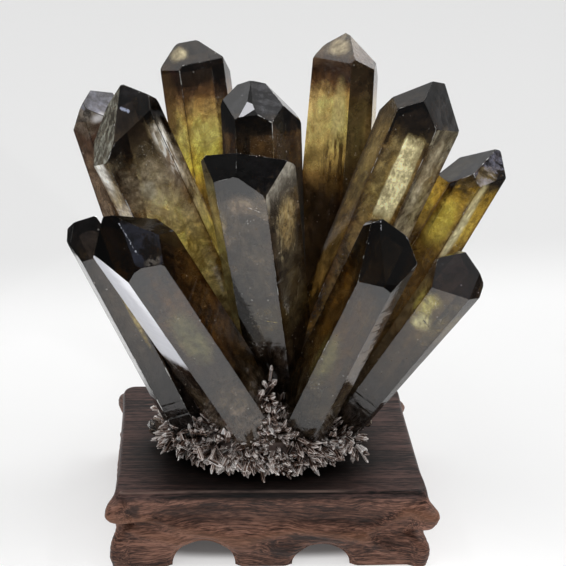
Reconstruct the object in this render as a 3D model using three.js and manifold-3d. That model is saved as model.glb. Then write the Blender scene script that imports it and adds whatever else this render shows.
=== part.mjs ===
// A cluster of smoky morion quartz on its carved hardwood stand, in millimetres, with +Z up.
// Twelve large prisms fan out of a low druse of small crystals, and the druse rests on the stand.
// X runs along the front of the stand, and the front faces -Y.

import * as THREE from 'three';
import { ConvexGeometry } from 'three/addons/geometries/ConvexGeometry.js';
import { mergeVertices } from 'three/addons/utils/BufferGeometryUtils.js';
import Module from 'manifold-3d';

const wasm = await Module();
wasm.setup();

// The gap left between a piece and the neighbour that it is grown or set against
const GAP = 0.3;

// How far each large crystal goes on below its root point, inside the druse
const ROOT_LENGTH = 9;

// Stand: a board whose edge rolls down into an apron. Each level is an outline of the stand at one
// height, "horn" is how far its four corners are drawn out, and "fall" is how much lower the level
// runs at the right end than at the left, because the carving isn't even.
const STAND_HEIGHT = 38;
const CORNER_RADIUS = 7;
const CORNER_STEPS = 8;
const SIDE_STEPS = 3;
const STAND_LEVELS = [
  { z: 0, halfWidth: 64.5, halfDepth: 43.5, horn: 1, fall: 0 },
  { z: 7, halfWidth: 65, halfDepth: 44, horn: 2, fall: 1 },
  { z: 12, halfWidth: 64.5, halfDepth: 43.8, horn: 2, fall: 2 },
  { z: 17, halfWidth: 62.5, halfDepth: 42.8, horn: 1, fall: 4 },
  { z: 21, halfWidth: 61, halfDepth: 42, horn: 0, fall: 5 },
  { z: 24, halfWidth: 61.5, halfDepth: 42.6, horn: 2.5, fall: 5 },
  { z: 26.5, halfWidth: 63, halfDepth: 43.4, horn: 6.5, fall: 5 },
  { z: 30.5, halfWidth: 64.2, halfDepth: 43.9, horn: 7, fall: 4.5 },
  { z: 33.5, halfWidth: 64.8, halfDepth: 44, horn: 4.5, fall: 3 },
  { z: 36, halfWidth: 64.7, halfDepth: 43.9, horn: 2, fall: 1 },
  { z: 37.4, halfWidth: 64, halfDepth: 43.3, horn: 1, fall: 0 },
  { z: STAND_HEIGHT, halfWidth: 62.8, halfDepth: 42.4, horn: 0, fall: 0 },
];
const FRONT_SPREAD = 3.3;
const POCKET = { width: 104, depth: 62, height: 22 };
const FRONT_ARCHES = [
  { middle: -27, halfWidth: 13.5, height: 13.5 },
  { middle: 23.5, halfWidth: 12.5, height: 10.5 },
];
const SIDE_ARCH = { middle: 0, halfWidth: 20, height: 12 };

// Druse: lumps that the crystals grow from, and the small crystals that cover them
const DRUSE_FLOOR = STAND_HEIGHT + GAP;
const DRUSE_LUMPS = [
  { middle: [-2.5, -1, DRUSE_FLOOR], radii: [45, 33, 30] },
  { middle: [0.5, -27, 62], radii: [5.5, 6, 16] },
];
const SMALL_CRYSTALS = 132;
const SMALL_LENGTH = [5, 12];
const SMALL_RADIUS = [1.1, 2.7];
const SMALL_TIP_SHARE = 0.4;
const GOLDEN_ANGLE = 137.508;

// Each large crystal runs from its root to its tip. "turn" is the heading in degrees of its front prism
// face, "sides" is how far the six prism faces stand from the axis at the tip's height, anticlockwise in
// steps of 60 degrees, and "taper" is the angle by which each side closes in towards the root.
// Each entry of "tops" is a termination face: its heading from the front face, the rise of its normal
// above the horizontal, which is near 38 degrees on quartz, and how far below the tip it crosses the axis.
// Crystals with the same "node" grow through one another and are one solid.
const CRYSTALS = [
  {
    name: 'crystal_front_left', node: 'crystal_front_left_pair',
    colour: '#3b3026', taper: 0,
    root: [-6.5, -15.5, 56], tip: [-60, -46, 164], turn: -80,
    sides: [14.5, 14, 14, 14.5, 14, 13.5],
    tops: [[-30, 35, -6.5], [15, 32, -9], [100, 38, -4.5], [150, 38, -3.5], [-110, 38, -10]],
  },
  {
    name: 'crystal_low_left', node: 'crystal_front_left_pair',
    colour: '#3f342a', taper: 0,
    root: [-33, -14.5, 56], tip: [-72.5, -40, 161], turn: -77,
    sides: [6.5, 9, 6, 7.5, 7.5, 7.5],
    tops: [[0, 30, 2.5], [-60, 40, -4.5], [180, 30, -4]],
  },
  {
    name: 'crystal_front_right', node: 'crystal_front_right',
    colour: '#40352a', taper: 0,
    root: [14, -17, 56], tip: [47, -50, 166.5], turn: -110,
    sides: [10, 12.5, 9.5, 10, 13, 9],
    tops: [[-8, 23, 2.5], [2, 29, 5.5], [120, 38, 0], [170, 38, 3.5], [-110, 38, -5.5]],
  },
  {
    name: 'crystal_low_right', node: 'crystal_low_right',
    colour: '#443a2c', taper: 2,
    root: [35, -12, 56], tip: [77, -40, 147], turn: -115,
    sides: [9, 12.5, 9.5, 10, 9, 9.5],
    tops: [[63, 36, -5.5], [-20, 38, 4.5], [150, 38, 0], [-110, 38, -3]],
  },
  {
    name: 'crystal_front_centre', node: 'crystal_centre_group',
    colour: '#463c30', taper: 1,
    root: [8.5, 3.5, 56], tip: [-11, -30, 187.5], turn: -99,
    sides: [15.5, 14, 16, 16.5, 13, 18],
    tops: [[43, 33, -8.5], [-15, 42, -16.5], [180, 38, 6.5], [-110, 38, -18], [110, 38, -12.5]],
  },
  {
    name: 'crystal_left', node: 'crystal_centre_group',
    colour: '#5a5030', taper: 0.5,
    root: [-5, 2, 56], tip: [-68, 2, 200.5], turn: -81,
    sides: [10.5, 17, 14, 11.5, 15, 15],
    tops: [[-16, 38, 5.5], [-70, 41, 10], [110, 38, -7], [180, 38, 2], [-130, 38, 3]],
  },
  {
    name: 'crystal_right', node: 'crystal_centre_group',
    colour: '#5c5032', taper: 1,
    root: [11.5, -5.5, 56], tip: [67, 14, 200], turn: -109,
    sides: [14.5, 15, 14.5, 14.5, 15.5, 15],
    tops: [[-49, 41, -0.5], [57, 42, 2.5], [110, 38, -2.5], [170, 38, -3], [-120, 38, 3]],
  },
  {
    name: 'crystal_back_centre', node: 'crystal_centre_group',
    colour: '#332a22', taper: 0,
    root: [3, 11.5, 56], tip: [-5.5, 20, 198], turn: -96,
    sides: [15.5, 13, 16, 15, 12, 15.5],
    tops: [[-36, 40, -9], [30, 40, -6], [0, 42, -8.5], [100, 38, -2.5], [180, 38, 6], [-120, 38, -6]],
  },
  {
    name: 'crystal_outer_left', node: 'crystal_outer_left',
    colour: '#5a4a34', taper: 2,
    root: [-39.5, 10, 56], tip: [-75.5, 30, 189.5], turn: -78,
    sides: [10, 9.5, 9.5, 10, 10.5, 10],
    tops: [[-20, 36, -8.5], [40, 38, 0.5], [180, 38, 5.5], [-110, 38, -3.5]],
  },
  {
    name: 'crystal_outer_right', node: 'crystal_outer_right',
    colour: '#5e4e2c', taper: 0,
    root: [34.5, 8, 56], tip: [90, 12, 171], turn: -109,
    sides: [12.5, 10.5, 11.5, 13, 10, 12],
    tops: [[-67, 36, 2], [39, 39, -3.5], [110, 38, -9], [-150, 38, -1.5]],
  },
  {
    name: 'crystal_back_left', node: 'crystal_back_left',
    colour: '#6b5f30', taper: 0,
    root: [-12.5, 26.5, 56], tip: [-33.5, 56, 202], turn: -73,
    sides: [10, 14, 12.5, 10.5, 13, 13],
    tops: [[-2, 51, 0], [-60, 38, -6.5], [100, 38, -4], [180, 38, -0.5], [-120, 38, -7.5]],
  },
  {
    name: 'crystal_back_right', node: 'crystal_back_right',
    colour: '#6b5a2e', taper: -1,
    root: [31, 27, 56], tip: [36, 53.5, 207], turn: -134,
    sides: [8.5, 10, 10.5, 11.5, 8, 17.5],
    tops: [[0, 38, 0], [88, 46, 2], [160, 38, 2], [-120, 38, -4.5]],
  },
];

const degrees = THREE.MathUtils.degToRad;

// A direction from its heading in degrees round Z and its height in degrees above the horizontal
function direction(heading, height) {
  const flat = Math.cos(degrees(height));
  return new THREE.Vector3(
    flat * Math.cos(degrees(heading)),
    flat * Math.sin(degrees(heading)),
    Math.sin(degrees(height)),
  );
}

// The corners of the solid that lies behind all the given planes. A plane is an outward normal and a
// distance, a corner is a point where three planes meet, and it counts if no other plane cuts it off.
function cornersBehind(planes) {
  const corners = [];
  for (let i = 0; i < planes.length; i += 1) {
    for (let j = i + 1; j < planes.length; j += 1) {
      for (let k = j + 1; k < planes.length; k += 1) {
        const corner = meetingPoint(planes[i], planes[j], planes[k]);
        const inside = corner && planes.every((p) => p.normal.dot(corner) <= p.distance + 1e-4);
        if (inside && corners.every((c) => c.distanceTo(corner) > 1e-3)) {
          corners.push(corner);
        }
      }
    }
  }
  return corners;
}

function meetingPoint(a, b, c) {
  const normals = new THREE.Matrix3().set(
    ...a.normal.toArray(), ...b.normal.toArray(), ...c.normal.toArray(),
  );
  if (Math.abs(normals.determinant()) < 1e-6) {
    return null;
  }
  return new THREE.Vector3(a.distance, b.distance, c.distance).applyMatrix3(normals.invert());
}

function closedGeometry(geometry) {
  const bare = geometry.clone();
  bare.deleteAttribute('normal');
  bare.deleteAttribute('uv');
  return mergeVertices(bare, 1e-4);
}

// One crystal along its own +Z, with its root at the origin: six prism faces that widen a little
// upwards, six termination faces above them, and a flat root. "grow" moves every face outwards.
function crystalGeometry(crystal, grow = 0) {
  const length = new THREE.Vector3(...crystal.root).distanceTo(new THREE.Vector3(...crystal.tip));
  const planes = [{ normal: new THREE.Vector3(0, 0, -1), distance: ROOT_LENGTH + grow }];
  for (let i = 0; i < 6; i += 1) {
    const heading = crystal.turn + 60 * i;
    const normal = direction(heading, -crystal.taper);
    const point = direction(heading, 0).multiplyScalar(crystal.sides[i]);
    point.z = length;
    planes.push({ normal, distance: normal.dot(point) + grow });
  }
  for (const [heading, rise, drop] of crystal.tops) {
    const normal = direction(crystal.turn + heading, rise);
    planes.push({ normal, distance: normal.z * (length - drop) + grow });
  }
  return closedGeometry(new ConvexGeometry(cornersBehind(planes)));
}

function solidOf(geometry) {
  return new wasm.Manifold(new wasm.Mesh({
    numProp: 3,
    vertProperties: new Float32Array(geometry.attributes.position.array),
    triVerts: new Uint32Array(geometry.index.array),
  }));
}

function geometryOf(solid) {
  const mesh = solid.getMesh();
  const geometry = new THREE.BufferGeometry();
  geometry.setAttribute('position', new THREE.BufferAttribute(mesh.vertProperties, 3));
  geometry.setIndex(new THREE.BufferAttribute(mesh.triVerts, 1));
  geometry.computeVertexNormals();
  return geometry;
}

// The place of a crystal: its root point, and the turn that lays its own +Z along the line to its tip
function crystalPlace(crystal) {
  const root = new THREE.Vector3(...crystal.root);
  const axis = new THREE.Vector3(...crystal.tip).sub(root).normalize();
  const turn = new THREE.Quaternion().setFromUnitVectors(new THREE.Vector3(0, 0, 1), axis);
  return new THREE.Matrix4().compose(root, turn, new THREE.Vector3(1, 1, 1));
}

// One large crystal in the cluster's frame, with every face moved outwards by "grow"
function placedCrystal(crystal, grow = 0) {
  return solidOf(crystalGeometry(crystal, grow).applyMatrix4(crystalPlace(crystal)));
}

function largestPiece(solid) {
  return solid.decompose().reduce((a, b) => (a.volume() > b.volume() ? a : b));
}

function namedMesh(name, solid, colour, roughness) {
  const finish = new THREE.MeshStandardMaterial({ color: colour, roughness, metalness: 0 });
  const mesh = new THREE.Mesh(geometryOf(solid), finish);
  mesh.name = name;
  return mesh;
}

// The large crystals, node by node. Where two nodes meet at their roots, the later one gives way.
function crystalMeshes() {
  const names = [...new Set(CRYSTALS.map((crystal) => crystal.node))];
  const meshes = [];
  let taken = null;
  for (const name of names) {
    const members = CRYSTALS.filter((crystal) => crystal.node === name);
    const whole = wasm.Manifold.union(members.map((crystal) => placedCrystal(crystal)));
    const free = taken ? whole.subtract(taken) : whole;
    meshes.push(namedMesh(name, largestPiece(free), members[0].colour, 0.05));
    const grown = members.map((crystal) => placedCrystal(crystal, GAP));
    taken = wasm.Manifold.union(taken ? [taken, ...grown] : grown);
  }
  return { meshes, taken };
}

// A lump is a ball drawn out to three radii, with a gentle waviness so that it doesn't look turned
function lumpGeometry({ middle, radii }) {
  const ball = new THREE.SphereGeometry(1, 28, 18);
  const point = new THREE.Vector3();
  const places = ball.attributes.position;
  for (let i = 0; i < places.count; i += 1) {
    point.fromBufferAttribute(places, i);
    const wave = 1 + 0.035 * Math.sin(7 * point.x + 3 * point.y) * Math.cos(6 * point.y - 4 * point.z);
    point.multiplyScalar(wave);
    places.setXYZ(i, point.x, point.y, point.z);
  }
  ball.rotateX(Math.PI / 2);
  ball.scale(...radii);
  ball.translate(...middle);
  return closedGeometry(ball);
}

// A small six-sided crystal along +Y, with a pointed end
function smallCrystalGeometry(length, radius) {
  const shoulder = length * (1 - SMALL_TIP_SHARE);
  const outline = [[0, -radius], [radius, -radius], [radius * 0.95, shoulder], [0, length]];
  return new THREE.LatheGeometry(outline.map(([x, y]) => new THREE.Vector2(x, y)), 6);
}

// A number between the two limits that jumps about evenly from one index to the next
function scattered([low, high], index, step) {
  const share = (index * step) % 1;
  return low + (high - low) * share;
}

// The small crystals stand out of the lumps in a golden spiral. Those low on the druse lean down a
// little over the board.
function smallCrystals() {
  const solids = [];
  for (let i = 0; i < SMALL_CRYSTALS; i += 1) {
    const onColumn = i % 14 === 13;
    const lump = DRUSE_LUMPS[onColumn ? 1 : 0];
    const height = onColumn ? scattered([0.1, 0.9], i, 0.37) : 0.06 + 0.8 * ((i / SMALL_CRYSTALS) ** 1.4);
    const flat = Math.sqrt(1 - height * height);
    const heading = degrees(GOLDEN_ANGLE * i);
    const ball = new THREE.Vector3(flat * Math.cos(heading), flat * Math.sin(heading), height);
    const place = ball.clone().multiply(new THREE.Vector3(...lump.radii));
    place.add(new THREE.Vector3(...lump.middle));
    const lean = new THREE.Vector3(
      ball.x + scattered([-0.4, 0.4], i, 0.618),
      ball.y + scattered([-0.4, 0.4], i, 0.414),
      height + scattered([-0.3, 0.3], i, 0.732),
    );
    const length = scattered(SMALL_LENGTH, i, 0.541);
    const crystal = smallCrystalGeometry(length, scattered(SMALL_RADIUS, i, 0.871));
    const turn = new THREE.Quaternion().setFromUnitVectors(new THREE.Vector3(0, 1, 0), lean.normalize());
    crystal.applyQuaternion(turn);
    crystal.translate(place.x, place.y, place.z);
    solids.push(solidOf(closedGeometry(crystal)));
  }
  return solids;
}

function druseMesh(largeCrystals) {
  const lumps = DRUSE_LUMPS.map((lump) => solidOf(lumpGeometry(lump)));
  const crust = wasm.Manifold.union([...lumps, ...smallCrystals()]);
  const seated = crust.trimByPlane([0, 0, 1], DRUSE_FLOOR).subtract(largeCrystals);
  return namedMesh('druse_base', largestPiece(seated), '#8f857b', 0.25);
}

// The outline of the stand at one level, anticlockwise from its right side. The board's right end
// spreads a little towards the front.
function standRing({ z, halfWidth, halfDepth, horn, fall }) {
  const corners = [[1, 1], [-1, 1], [-1, -1], [1, -1]];
  const arcs = corners.map(([right, back], corner) => {
    const arc = [];
    for (let i = 0; i <= CORNER_STEPS; i += 1) {
      const angle = degrees(90 * (corner + i / CORNER_STEPS));
      const reach = CORNER_RADIUS + horn * Math.sin(Math.PI * i / CORNER_STEPS) ** 2;
      arc.push(new THREE.Vector3(
        right * (halfWidth - CORNER_RADIUS) + reach * Math.cos(angle),
        back * (halfDepth - CORNER_RADIUS) + reach * Math.sin(angle),
        z,
      ));
    }
    return arc;
  });
  const ring = [];
  arcs.forEach((arc, corner) => {
    const next = arcs[(corner + 1) % 4][0];
    ring.push(...arc);
    for (let i = 1; i < SIDE_STEPS; i += 1) {
      ring.push(arc[CORNER_STEPS].clone().lerp(next, i / SIDE_STEPS));
    }
  });
  for (const point of ring) {
    const right = point.x / halfWidth;
    point.z -= fall * (right + 1) / 2;
    point.x += FRONT_SPREAD * Math.max(0, right) * (0.5 - point.y / (2 * halfDepth));
  }
  return ring;
}

// A closed solid between a stack of rings with the same number of points, from the bottom up
function loftGeometry(rings) {
  const size = rings[0].length;
  const points = rings.flat();
  const triangles = [];
  for (let level = 0; level + 1 < rings.length; level += 1) {
    for (let i = 0; i < size; i += 1) {
      const a = level * size + i;
      const b = level * size + (i + 1) % size;
      triangles.push(a, b, b + size, a, b + size, a + size);
    }
  }
  const top = points.length - size;
  for (let i = 1; i + 1 < size; i += 1) {
    triangles.push(0, i + 1, i, top, top + i, top + i + 1);
  }
  const geometry = new THREE.BufferGeometry().setFromPoints(points);
  geometry.setIndex(triangles);
  return geometry;
}

// An opening with a round head, as wide as two halfWidths at the floor, that runs the given length along Y
function archGeometry({ middle, halfWidth, height }, length) {
  const drum = new THREE.CylinderGeometry(1, 1, length, 28);
  drum.scale(halfWidth, 1, height);
  drum.translate(middle, 0, 0);
  return closedGeometry(drum);
}

function standMesh() {
  const through = 2 * STAND_LEVELS[0].halfWidth + 20;
  const pocket = new THREE.BoxGeometry(POCKET.width, POCKET.depth, 2 * POCKET.height);
  const sideArch = archGeometry(SIDE_ARCH, through).rotateZ(Math.PI / 2);
  let stand = solidOf(loftGeometry(STAND_LEVELS.map(standRing)));
  stand = stand.subtract(solidOf(closedGeometry(pocket)));
  stand = stand.subtract(solidOf(sideArch));
  for (const arch of FRONT_ARCHES) {
    stand = stand.subtract(solidOf(archGeometry(arch, through)));
  }
  return namedMesh('wood_stand', stand, '#2f1e19', 0.55);
}

// The origin is under the middle of the whole, on the floor
function centred(group) {
  const middle = new THREE.Box3().setFromObject(group, true).getCenter(new THREE.Vector3());
  for (const mesh of group.children) {
    mesh.position.set(-middle.x, -middle.y, 0);
  }
  return group;
}

const { meshes: crystals, taken: crystalSpace } = crystalMeshes();
const cluster = new THREE.Group();
cluster.add(...crystals, druseMesh(crystalSpace), standMesh());

export default centred(cluster);
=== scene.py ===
# %% [markdown]
# # A smoky quartz cluster on its carved stand
#
# The real object is one natural piece and one made piece. Twelve large prisms of morion, which is
# nearly black smoky quartz, fan out of a crust of small crystals, and the crust rests on a dark
# hardwood stand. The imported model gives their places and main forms. This notebook gives each its
# finish, and builds finer surfaces where flat solids would look plain.

import itertools

import bmesh
import bpy
import numpy as np
from mathutils import Matrix, Vector


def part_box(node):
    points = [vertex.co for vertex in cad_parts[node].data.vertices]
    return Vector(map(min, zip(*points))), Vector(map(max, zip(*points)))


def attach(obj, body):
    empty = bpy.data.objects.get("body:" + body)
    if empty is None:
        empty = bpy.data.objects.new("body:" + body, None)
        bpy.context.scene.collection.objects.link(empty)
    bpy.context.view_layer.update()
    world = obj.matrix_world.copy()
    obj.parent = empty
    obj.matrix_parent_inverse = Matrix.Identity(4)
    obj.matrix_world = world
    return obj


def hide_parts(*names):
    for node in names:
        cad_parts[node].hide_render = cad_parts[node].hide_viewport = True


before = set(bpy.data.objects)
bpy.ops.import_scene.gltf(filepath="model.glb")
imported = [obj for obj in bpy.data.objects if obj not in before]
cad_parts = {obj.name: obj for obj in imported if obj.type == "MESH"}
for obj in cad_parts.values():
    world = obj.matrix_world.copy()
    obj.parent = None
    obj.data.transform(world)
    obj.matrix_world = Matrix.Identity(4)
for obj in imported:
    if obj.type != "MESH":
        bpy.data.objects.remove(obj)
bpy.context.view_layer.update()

# %% [markdown]
# ## Lengths and places
#
# The sizes below are in millimetres and start from the middle of the stand, on the floor, with +X
# to the viewer's right and -Y to the front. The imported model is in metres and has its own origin,
# so one shift, read from the stand's box, brings every point into it.

# %% Millimetres from the stand's middle to the model's metres
MM = 0.001
STAND_LEFT_REACH = 68.04
stand_low, stand_high = [np.array(corner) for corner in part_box("wood_stand")]
stand_middle = np.array([
    stand_low[0] + STAND_LEFT_REACH * MM,
    (stand_low[1] + stand_high[1]) / 2,
    0,
])


def to_model(points):
    """Points in millimetres from the stand's middle, as metres in the model."""
    return np.asarray(points, float) * MM + stand_middle


print("middle of the stand", stand_middle.round(5))

# %% [markdown]
# ## Putting arrays into a mesh
#
# Every new surface here is worked out as whole numpy arrays. Blender takes such arrays directly,
# which is far faster than adding points one by one.


# %% A mesh from arrays
def mesh_object(name, points, faces, smooth=False, **attributes):
    """A new object from points in millimetres and a list of faces. Each attribute is an array with
    one number or vector for each point, or for each face, which a material can read by its name."""
    mesh = bpy.data.meshes.new(name)
    mesh.from_pydata(to_model(points), [], faces)
    for label, values in attributes.items():
        values = np.asarray(values, np.float32)
        kind, slot = ("FLOAT", "value") if values.ndim == 1 else ("FLOAT_VECTOR", "vector")
        domain = "FACE" if len(values) == len(faces) else "POINT"
        mesh.attributes.new(label, kind, domain).data.foreach_set(slot, values.ravel())
    mesh.validate()
    mesh.polygons.foreach_set("use_smooth", np.full(len(mesh.polygons), smooth))
    mesh.update()
    piece = bpy.data.objects.new(name, mesh)
    bpy.context.scene.collection.objects.link(piece)
    return piece


def grid_faces(rows, columns, closed=True):
    """The four-cornered faces of a grid of points, where each row may close into a ring."""
    spans = columns if closed else columns - 1
    row, column = np.meshgrid(np.arange(rows - 1), np.arange(spans), indexing="ij")
    following = (column + 1) % columns
    corners = [
        row * columns + column,
        row * columns + following,
        (row + 1) * columns + following,
        (row + 1) * columns + column,
    ]
    return np.stack(corners, -1).reshape(-1, 4).tolist()


def capped_grid(rows, columns):
    """The faces of a grid of rings, with one face more below the first ring and one above the last."""
    faces = grid_faces(rows, columns)
    faces.append(list(range(columns - 1, -1, -1)))
    faces.append(list(range((rows - 1) * columns, rows * columns)))
    return faces


def dress(piece, slot, *nodes):
    """Lets a piece ride on the cluster's one body, and hides the imported parts that it replaces. The
    slot is not used.
    """
    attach(piece, "root")
    if nodes:
        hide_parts(*nodes)
    print(piece.name, len(piece.data.vertices), "points")


# %% [markdown]
# ## Writing materials as expressions
#
# A material is a network of nodes. Drawing one by hand hides the maths, so a small class wraps a
# socket, and an expression such as `1 - mask * 0.5` adds the nodes for it.


# %% Expressions that add nodes
class Number:
    """A number that changes over a surface."""

    def __init__(self, maker, socket):
        self.maker = maker
        self.socket = socket

    def math(self, operation, *others, clamp=False):
        settings = {"operation": operation, "use_clamp": clamp}
        return self.maker.add("ShaderNodeMath", settings, dict(enumerate([self, *others])))

    def __add__(self, other):
        return self.math("ADD", other)

    def __sub__(self, other):
        return self.math("SUBTRACT", other)

    def __mul__(self, other):
        return self.math("MULTIPLY", other)

    def __truediv__(self, other):
        return self.math("DIVIDE", other)

    def __rsub__(self, other):
        return self.math("MULTIPLY", -1) + other

    __radd__ = __add__
    __rmul__ = __mul__

    def power(self, exponent):
        return self.math("POWER", exponent)

    def between(self, low, high):
        """0 below low, 1 above high, and a smooth rise from one to the other."""
        settings = {"interpolation_type": "SMOOTHSTEP"}
        return self.maker.add("ShaderNodeMapRange", settings, {0: self, 1: low, 2: high})


class Maker:
    """Adds nodes to one material or world."""

    def __init__(self, owner):
        owner.use_nodes = True
        self.tree = owner.node_tree
        self.tree.nodes.clear()

    def node(self, kind, settings=None, inputs=None):
        """Adds one node. Settings come first, because they can change which sockets it has."""
        made = self.tree.nodes.new(kind)
        for key, value in (settings or {}).items():
            setattr(made, key, value)
        for key, value in (inputs or {}).items():
            self.put(made.inputs[key], value)
        return made

    def put(self, socket, value):
        if isinstance(value, Number):
            value = value.socket
        if isinstance(value, bpy.types.NodeSocket):
            self.tree.links.new(value, socket)
        elif hasattr(socket, "default_value"):
            socket.default_value = value

    def add(self, kind, settings=None, inputs=None, output=0):
        """Adds one node and gives one of its outputs as a number."""
        return Number(self, self.node(kind, settings, inputs).outputs[output])

    def place(self):
        """Where a point lies on its object, in metres."""
        return self.node("ShaderNodeTexCoord").outputs["Object"]

    def parts(self, vector):
        """The three numbers of a vector."""
        split = self.node("ShaderNodeSeparateXYZ", None, {0: vector})
        return [Number(self, output) for output in split.outputs]

    def attribute(self, name):
        """A number that the mesh holds for each point or face."""
        return self.add("ShaderNodeAttribute", {"attribute_name": name}, output=2)

    def noise(self, place, scale, detail=3, roughness=0.55, distortion=0):
        inputs = {"Vector": place, "Scale": scale, "Detail": detail, "Roughness": roughness}
        return self.add("ShaderNodeTexNoise", None, {**inputs, "Distortion": distortion})

    def vector(self, operation, first, second):
        """A vector worked out from two others."""
        return self.node("ShaderNodeVectorMath", {"operation": operation}, {0: first, 1: second}).outputs[0]

    def measure(self, operation, first, second=(0, 0, 0)):
        """A number worked out from two vectors, such as their distance."""
        return self.add("ShaderNodeVectorMath", {"operation": operation}, {0: first, 1: second}, output=1)

    def times(self, vector, share):
        """A vector times a number that changes over the surface."""
        inputs = {0: vector, "Scale": share}
        return self.node("ShaderNodeVectorMath", {"operation": "SCALE"}, inputs).outputs[0]

    def stretched(self, place, factors):
        """A place with each of its axes drawn out or drawn in."""
        return self.vector("MULTIPLY", place, factors)

    def mix(self, factor, first, second, blend="MIX"):
        """A mix of two colours."""
        made = self.node("ShaderNodeMix", {"data_type": "RGBA", "blend_type": blend})
        self.put(made.inputs[0], factor)
        self.put(made.inputs[6], first)
        self.put(made.inputs[7], second)
        return made.outputs[2]

    def tinted(self, colour, tint, factor=1):
        """A colour multiplied by another."""
        return self.mix(factor, colour, tint, "MULTIPLY")

    def ramp(self, factor, stops):
        """A colour that changes with a number. Each stop is a place from 0 to 1 and a colour."""
        made = self.node("ShaderNodeValToRGB", None, {0: factor})
        elements = made.color_ramp.elements
        while len(elements) < len(stops):
            elements.new(0.5)
        for element, (place, colour) in zip(elements, stops):
            element.position = place
            element.color = (*colour, 1)
        return made.outputs[0]

    def bump(self, height, strength, distance):
        inputs = {"Strength": strength, "Distance": distance, "Height": height}
        return self.node("ShaderNodeBump", None, inputs).outputs[0]

    def principled(self, inputs):
        return self.node("ShaderNodeBsdfPrincipled", None, inputs).outputs[0]

    def both(self, share, first, second):
        """Two shaders mixed."""
        return self.node("ShaderNodeMixShader", None, {0: share, 1: first, 2: second}).outputs[0]

    def surface(self, shader, **inside):
        """Ends the network with the shader of the surface, and perhaps one of the inside."""
        self.node("ShaderNodeOutputMaterial", None, {"Surface": shader, **inside})


def new_finish(name):
    finish = bpy.data.materials.new(name)
    return finish, Maker(finish)


# %% [markdown]
# ## The camera
#
# The photograph looks down on the cluster from a little left of the middle. The focal length and the
# board's depth are assumed, because its corners don't settle them, and with both the camera's place
# and turn were fitted to those corners. A long lens keeps the prisms nearly parallel.

# %% Camera
IMAGE_SIZE = 566
FOCAL_PIXELS = 1500
SENSOR_WIDTH = 36
SEEN_FROM, SEEN_TO = 0.01, 50
CAMERA_PLACE = (-29.23, -562.63, 404.36)
CAMERA_YAW, CAMERA_PITCH, CAMERA_ROLL = np.radians([3.571, 27.191, 1.828])


def camera_turn():
    """The camera's right, up and back directions, as the columns of a matrix."""
    flat = np.cos(CAMERA_PITCH)
    ahead = np.array([np.sin(CAMERA_YAW) * flat, np.cos(CAMERA_YAW) * flat, -np.sin(CAMERA_PITCH)])
    level = np.array([np.cos(CAMERA_YAW), -np.sin(CAMERA_YAW), 0])
    upright = np.cross(level, ahead)
    right = level * np.cos(CAMERA_ROLL) + upright * np.sin(CAMERA_ROLL)
    up = upright * np.cos(CAMERA_ROLL) - level * np.sin(CAMERA_ROLL)
    return np.stack([right, up, -ahead], axis=1)


lens = bpy.data.cameras.new("photo_camera")
lens.sensor_width = SENSOR_WIDTH
lens.lens = FOCAL_PIXELS / IMAGE_SIZE * lens.sensor_width
lens.clip_start = SEEN_FROM
lens.clip_end = SEEN_TO
camera = bpy.data.objects.new("photo_camera", lens)
camera_matrix = Matrix(camera_turn().tolist()).to_4x4()
camera_matrix.translation = to_model(CAMERA_PLACE)
camera.matrix_world = camera_matrix
bpy.context.scene.collection.objects.link(camera)
bpy.context.scene.camera = camera
print("camera lens", round(lens.lens, 2), "mm")

# %% [markdown]
# ## The studio
#
# Quartz is mostly seen by what it mirrors and what it lets through, so the surroundings matter as
# much as the material. The white table glows, the room is dark behind the viewer, and there is
# broad light overhead. The table greys the front faces, and the heads stay black.


# %% The table
FLOOR_RADIUS = 7000
DISC_POINTS = 128
PAPER = (0.6, 0.6, 0.6, 1)
# Where the table's painted glow dims behind and brightens in front, in metres, and how much it changes.
FAR_TABLE = (0.175, 0.275)
NEAR_TABLE = (-0.1, 0.08)
PAPER_GLOW, FAR_LOSS, FAR_RIGHT_LOSS, NEAR_GAIN = 0.275, 0.15, 0.03, 0.03
# A painted pool of light, and an oblong of painted shadow beneath the stand, in millimetres.
POOL = {"middle": (10, -190, 0), "spread": 85, "glow": 1.2}
SHADED_REACH = (60, 36)
SHADE_EDGE = (0.7, 1.5)
SHADE_DEPTH = 0.85


def disc(name, radius, middle=(0, 0, 0)):
    """A flat disc: a ring of points at one radius, closed with one face."""
    angle = np.linspace(0, 2 * np.pi, DISC_POINTS, endpoint=False)
    ring = np.stack([np.cos(angle), np.sin(angle), np.zeros(DISC_POINTS)], 1) * radius
    return mesh_object(name, ring + middle, [list(range(DISC_POINTS))])


def oval_distance(right, back, middle, reach, power=2):
    """0 in the middle and 1 on an oval: each distance over its reach, to a power, and both added up.
    A higher power makes the oval an oblong with round corners."""
    middle = to_model(middle)
    across = (right - middle[0]) / (reach[0] * MM)
    deep = (back - middle[1]) / (reach[1] * MM)
    return across.power(power) + deep.power(power)


def paper_finish():
    """White paper whose glow is painted light. It glows in a painted pool of light before the stand,
    shaped as a bell curve, is a little darker far behind, and has a painted shadow beneath the stand."""
    finish, maker = new_finish("white_paper")
    right, back, _ = maker.parts(maker.place())
    far = (back - right * 0.1).between(*FAR_TABLE)
    near = (back * -1).between(*NEAR_TABLE)
    glow = PAPER_GLOW - far * FAR_LOSS - far * right * FAR_RIGHT_LOSS + near * NEAR_GAIN
    # The pool is painted light before the stand.
    aside = oval_distance(right, back, POOL["middle"], (POOL["spread"], POOL["spread"]))
    pool = (aside * -0.5).math("EXPONENT") * POOL["glow"]
    # Painted shadow beneath the stand, which dims the glow.
    shade = 1 - oval_distance(right, back, (0, 0, 0), SHADED_REACH, 4).between(*SHADE_EDGE)
    glow = (glow + pool) * (1 - shade * SHADE_DEPTH)
    inputs = {"Base Color": PAPER, "Roughness": 0.9, "Emission Color": glow, "Emission Strength": 1}
    maker.surface(maker.principled(inputs))
    return finish


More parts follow.
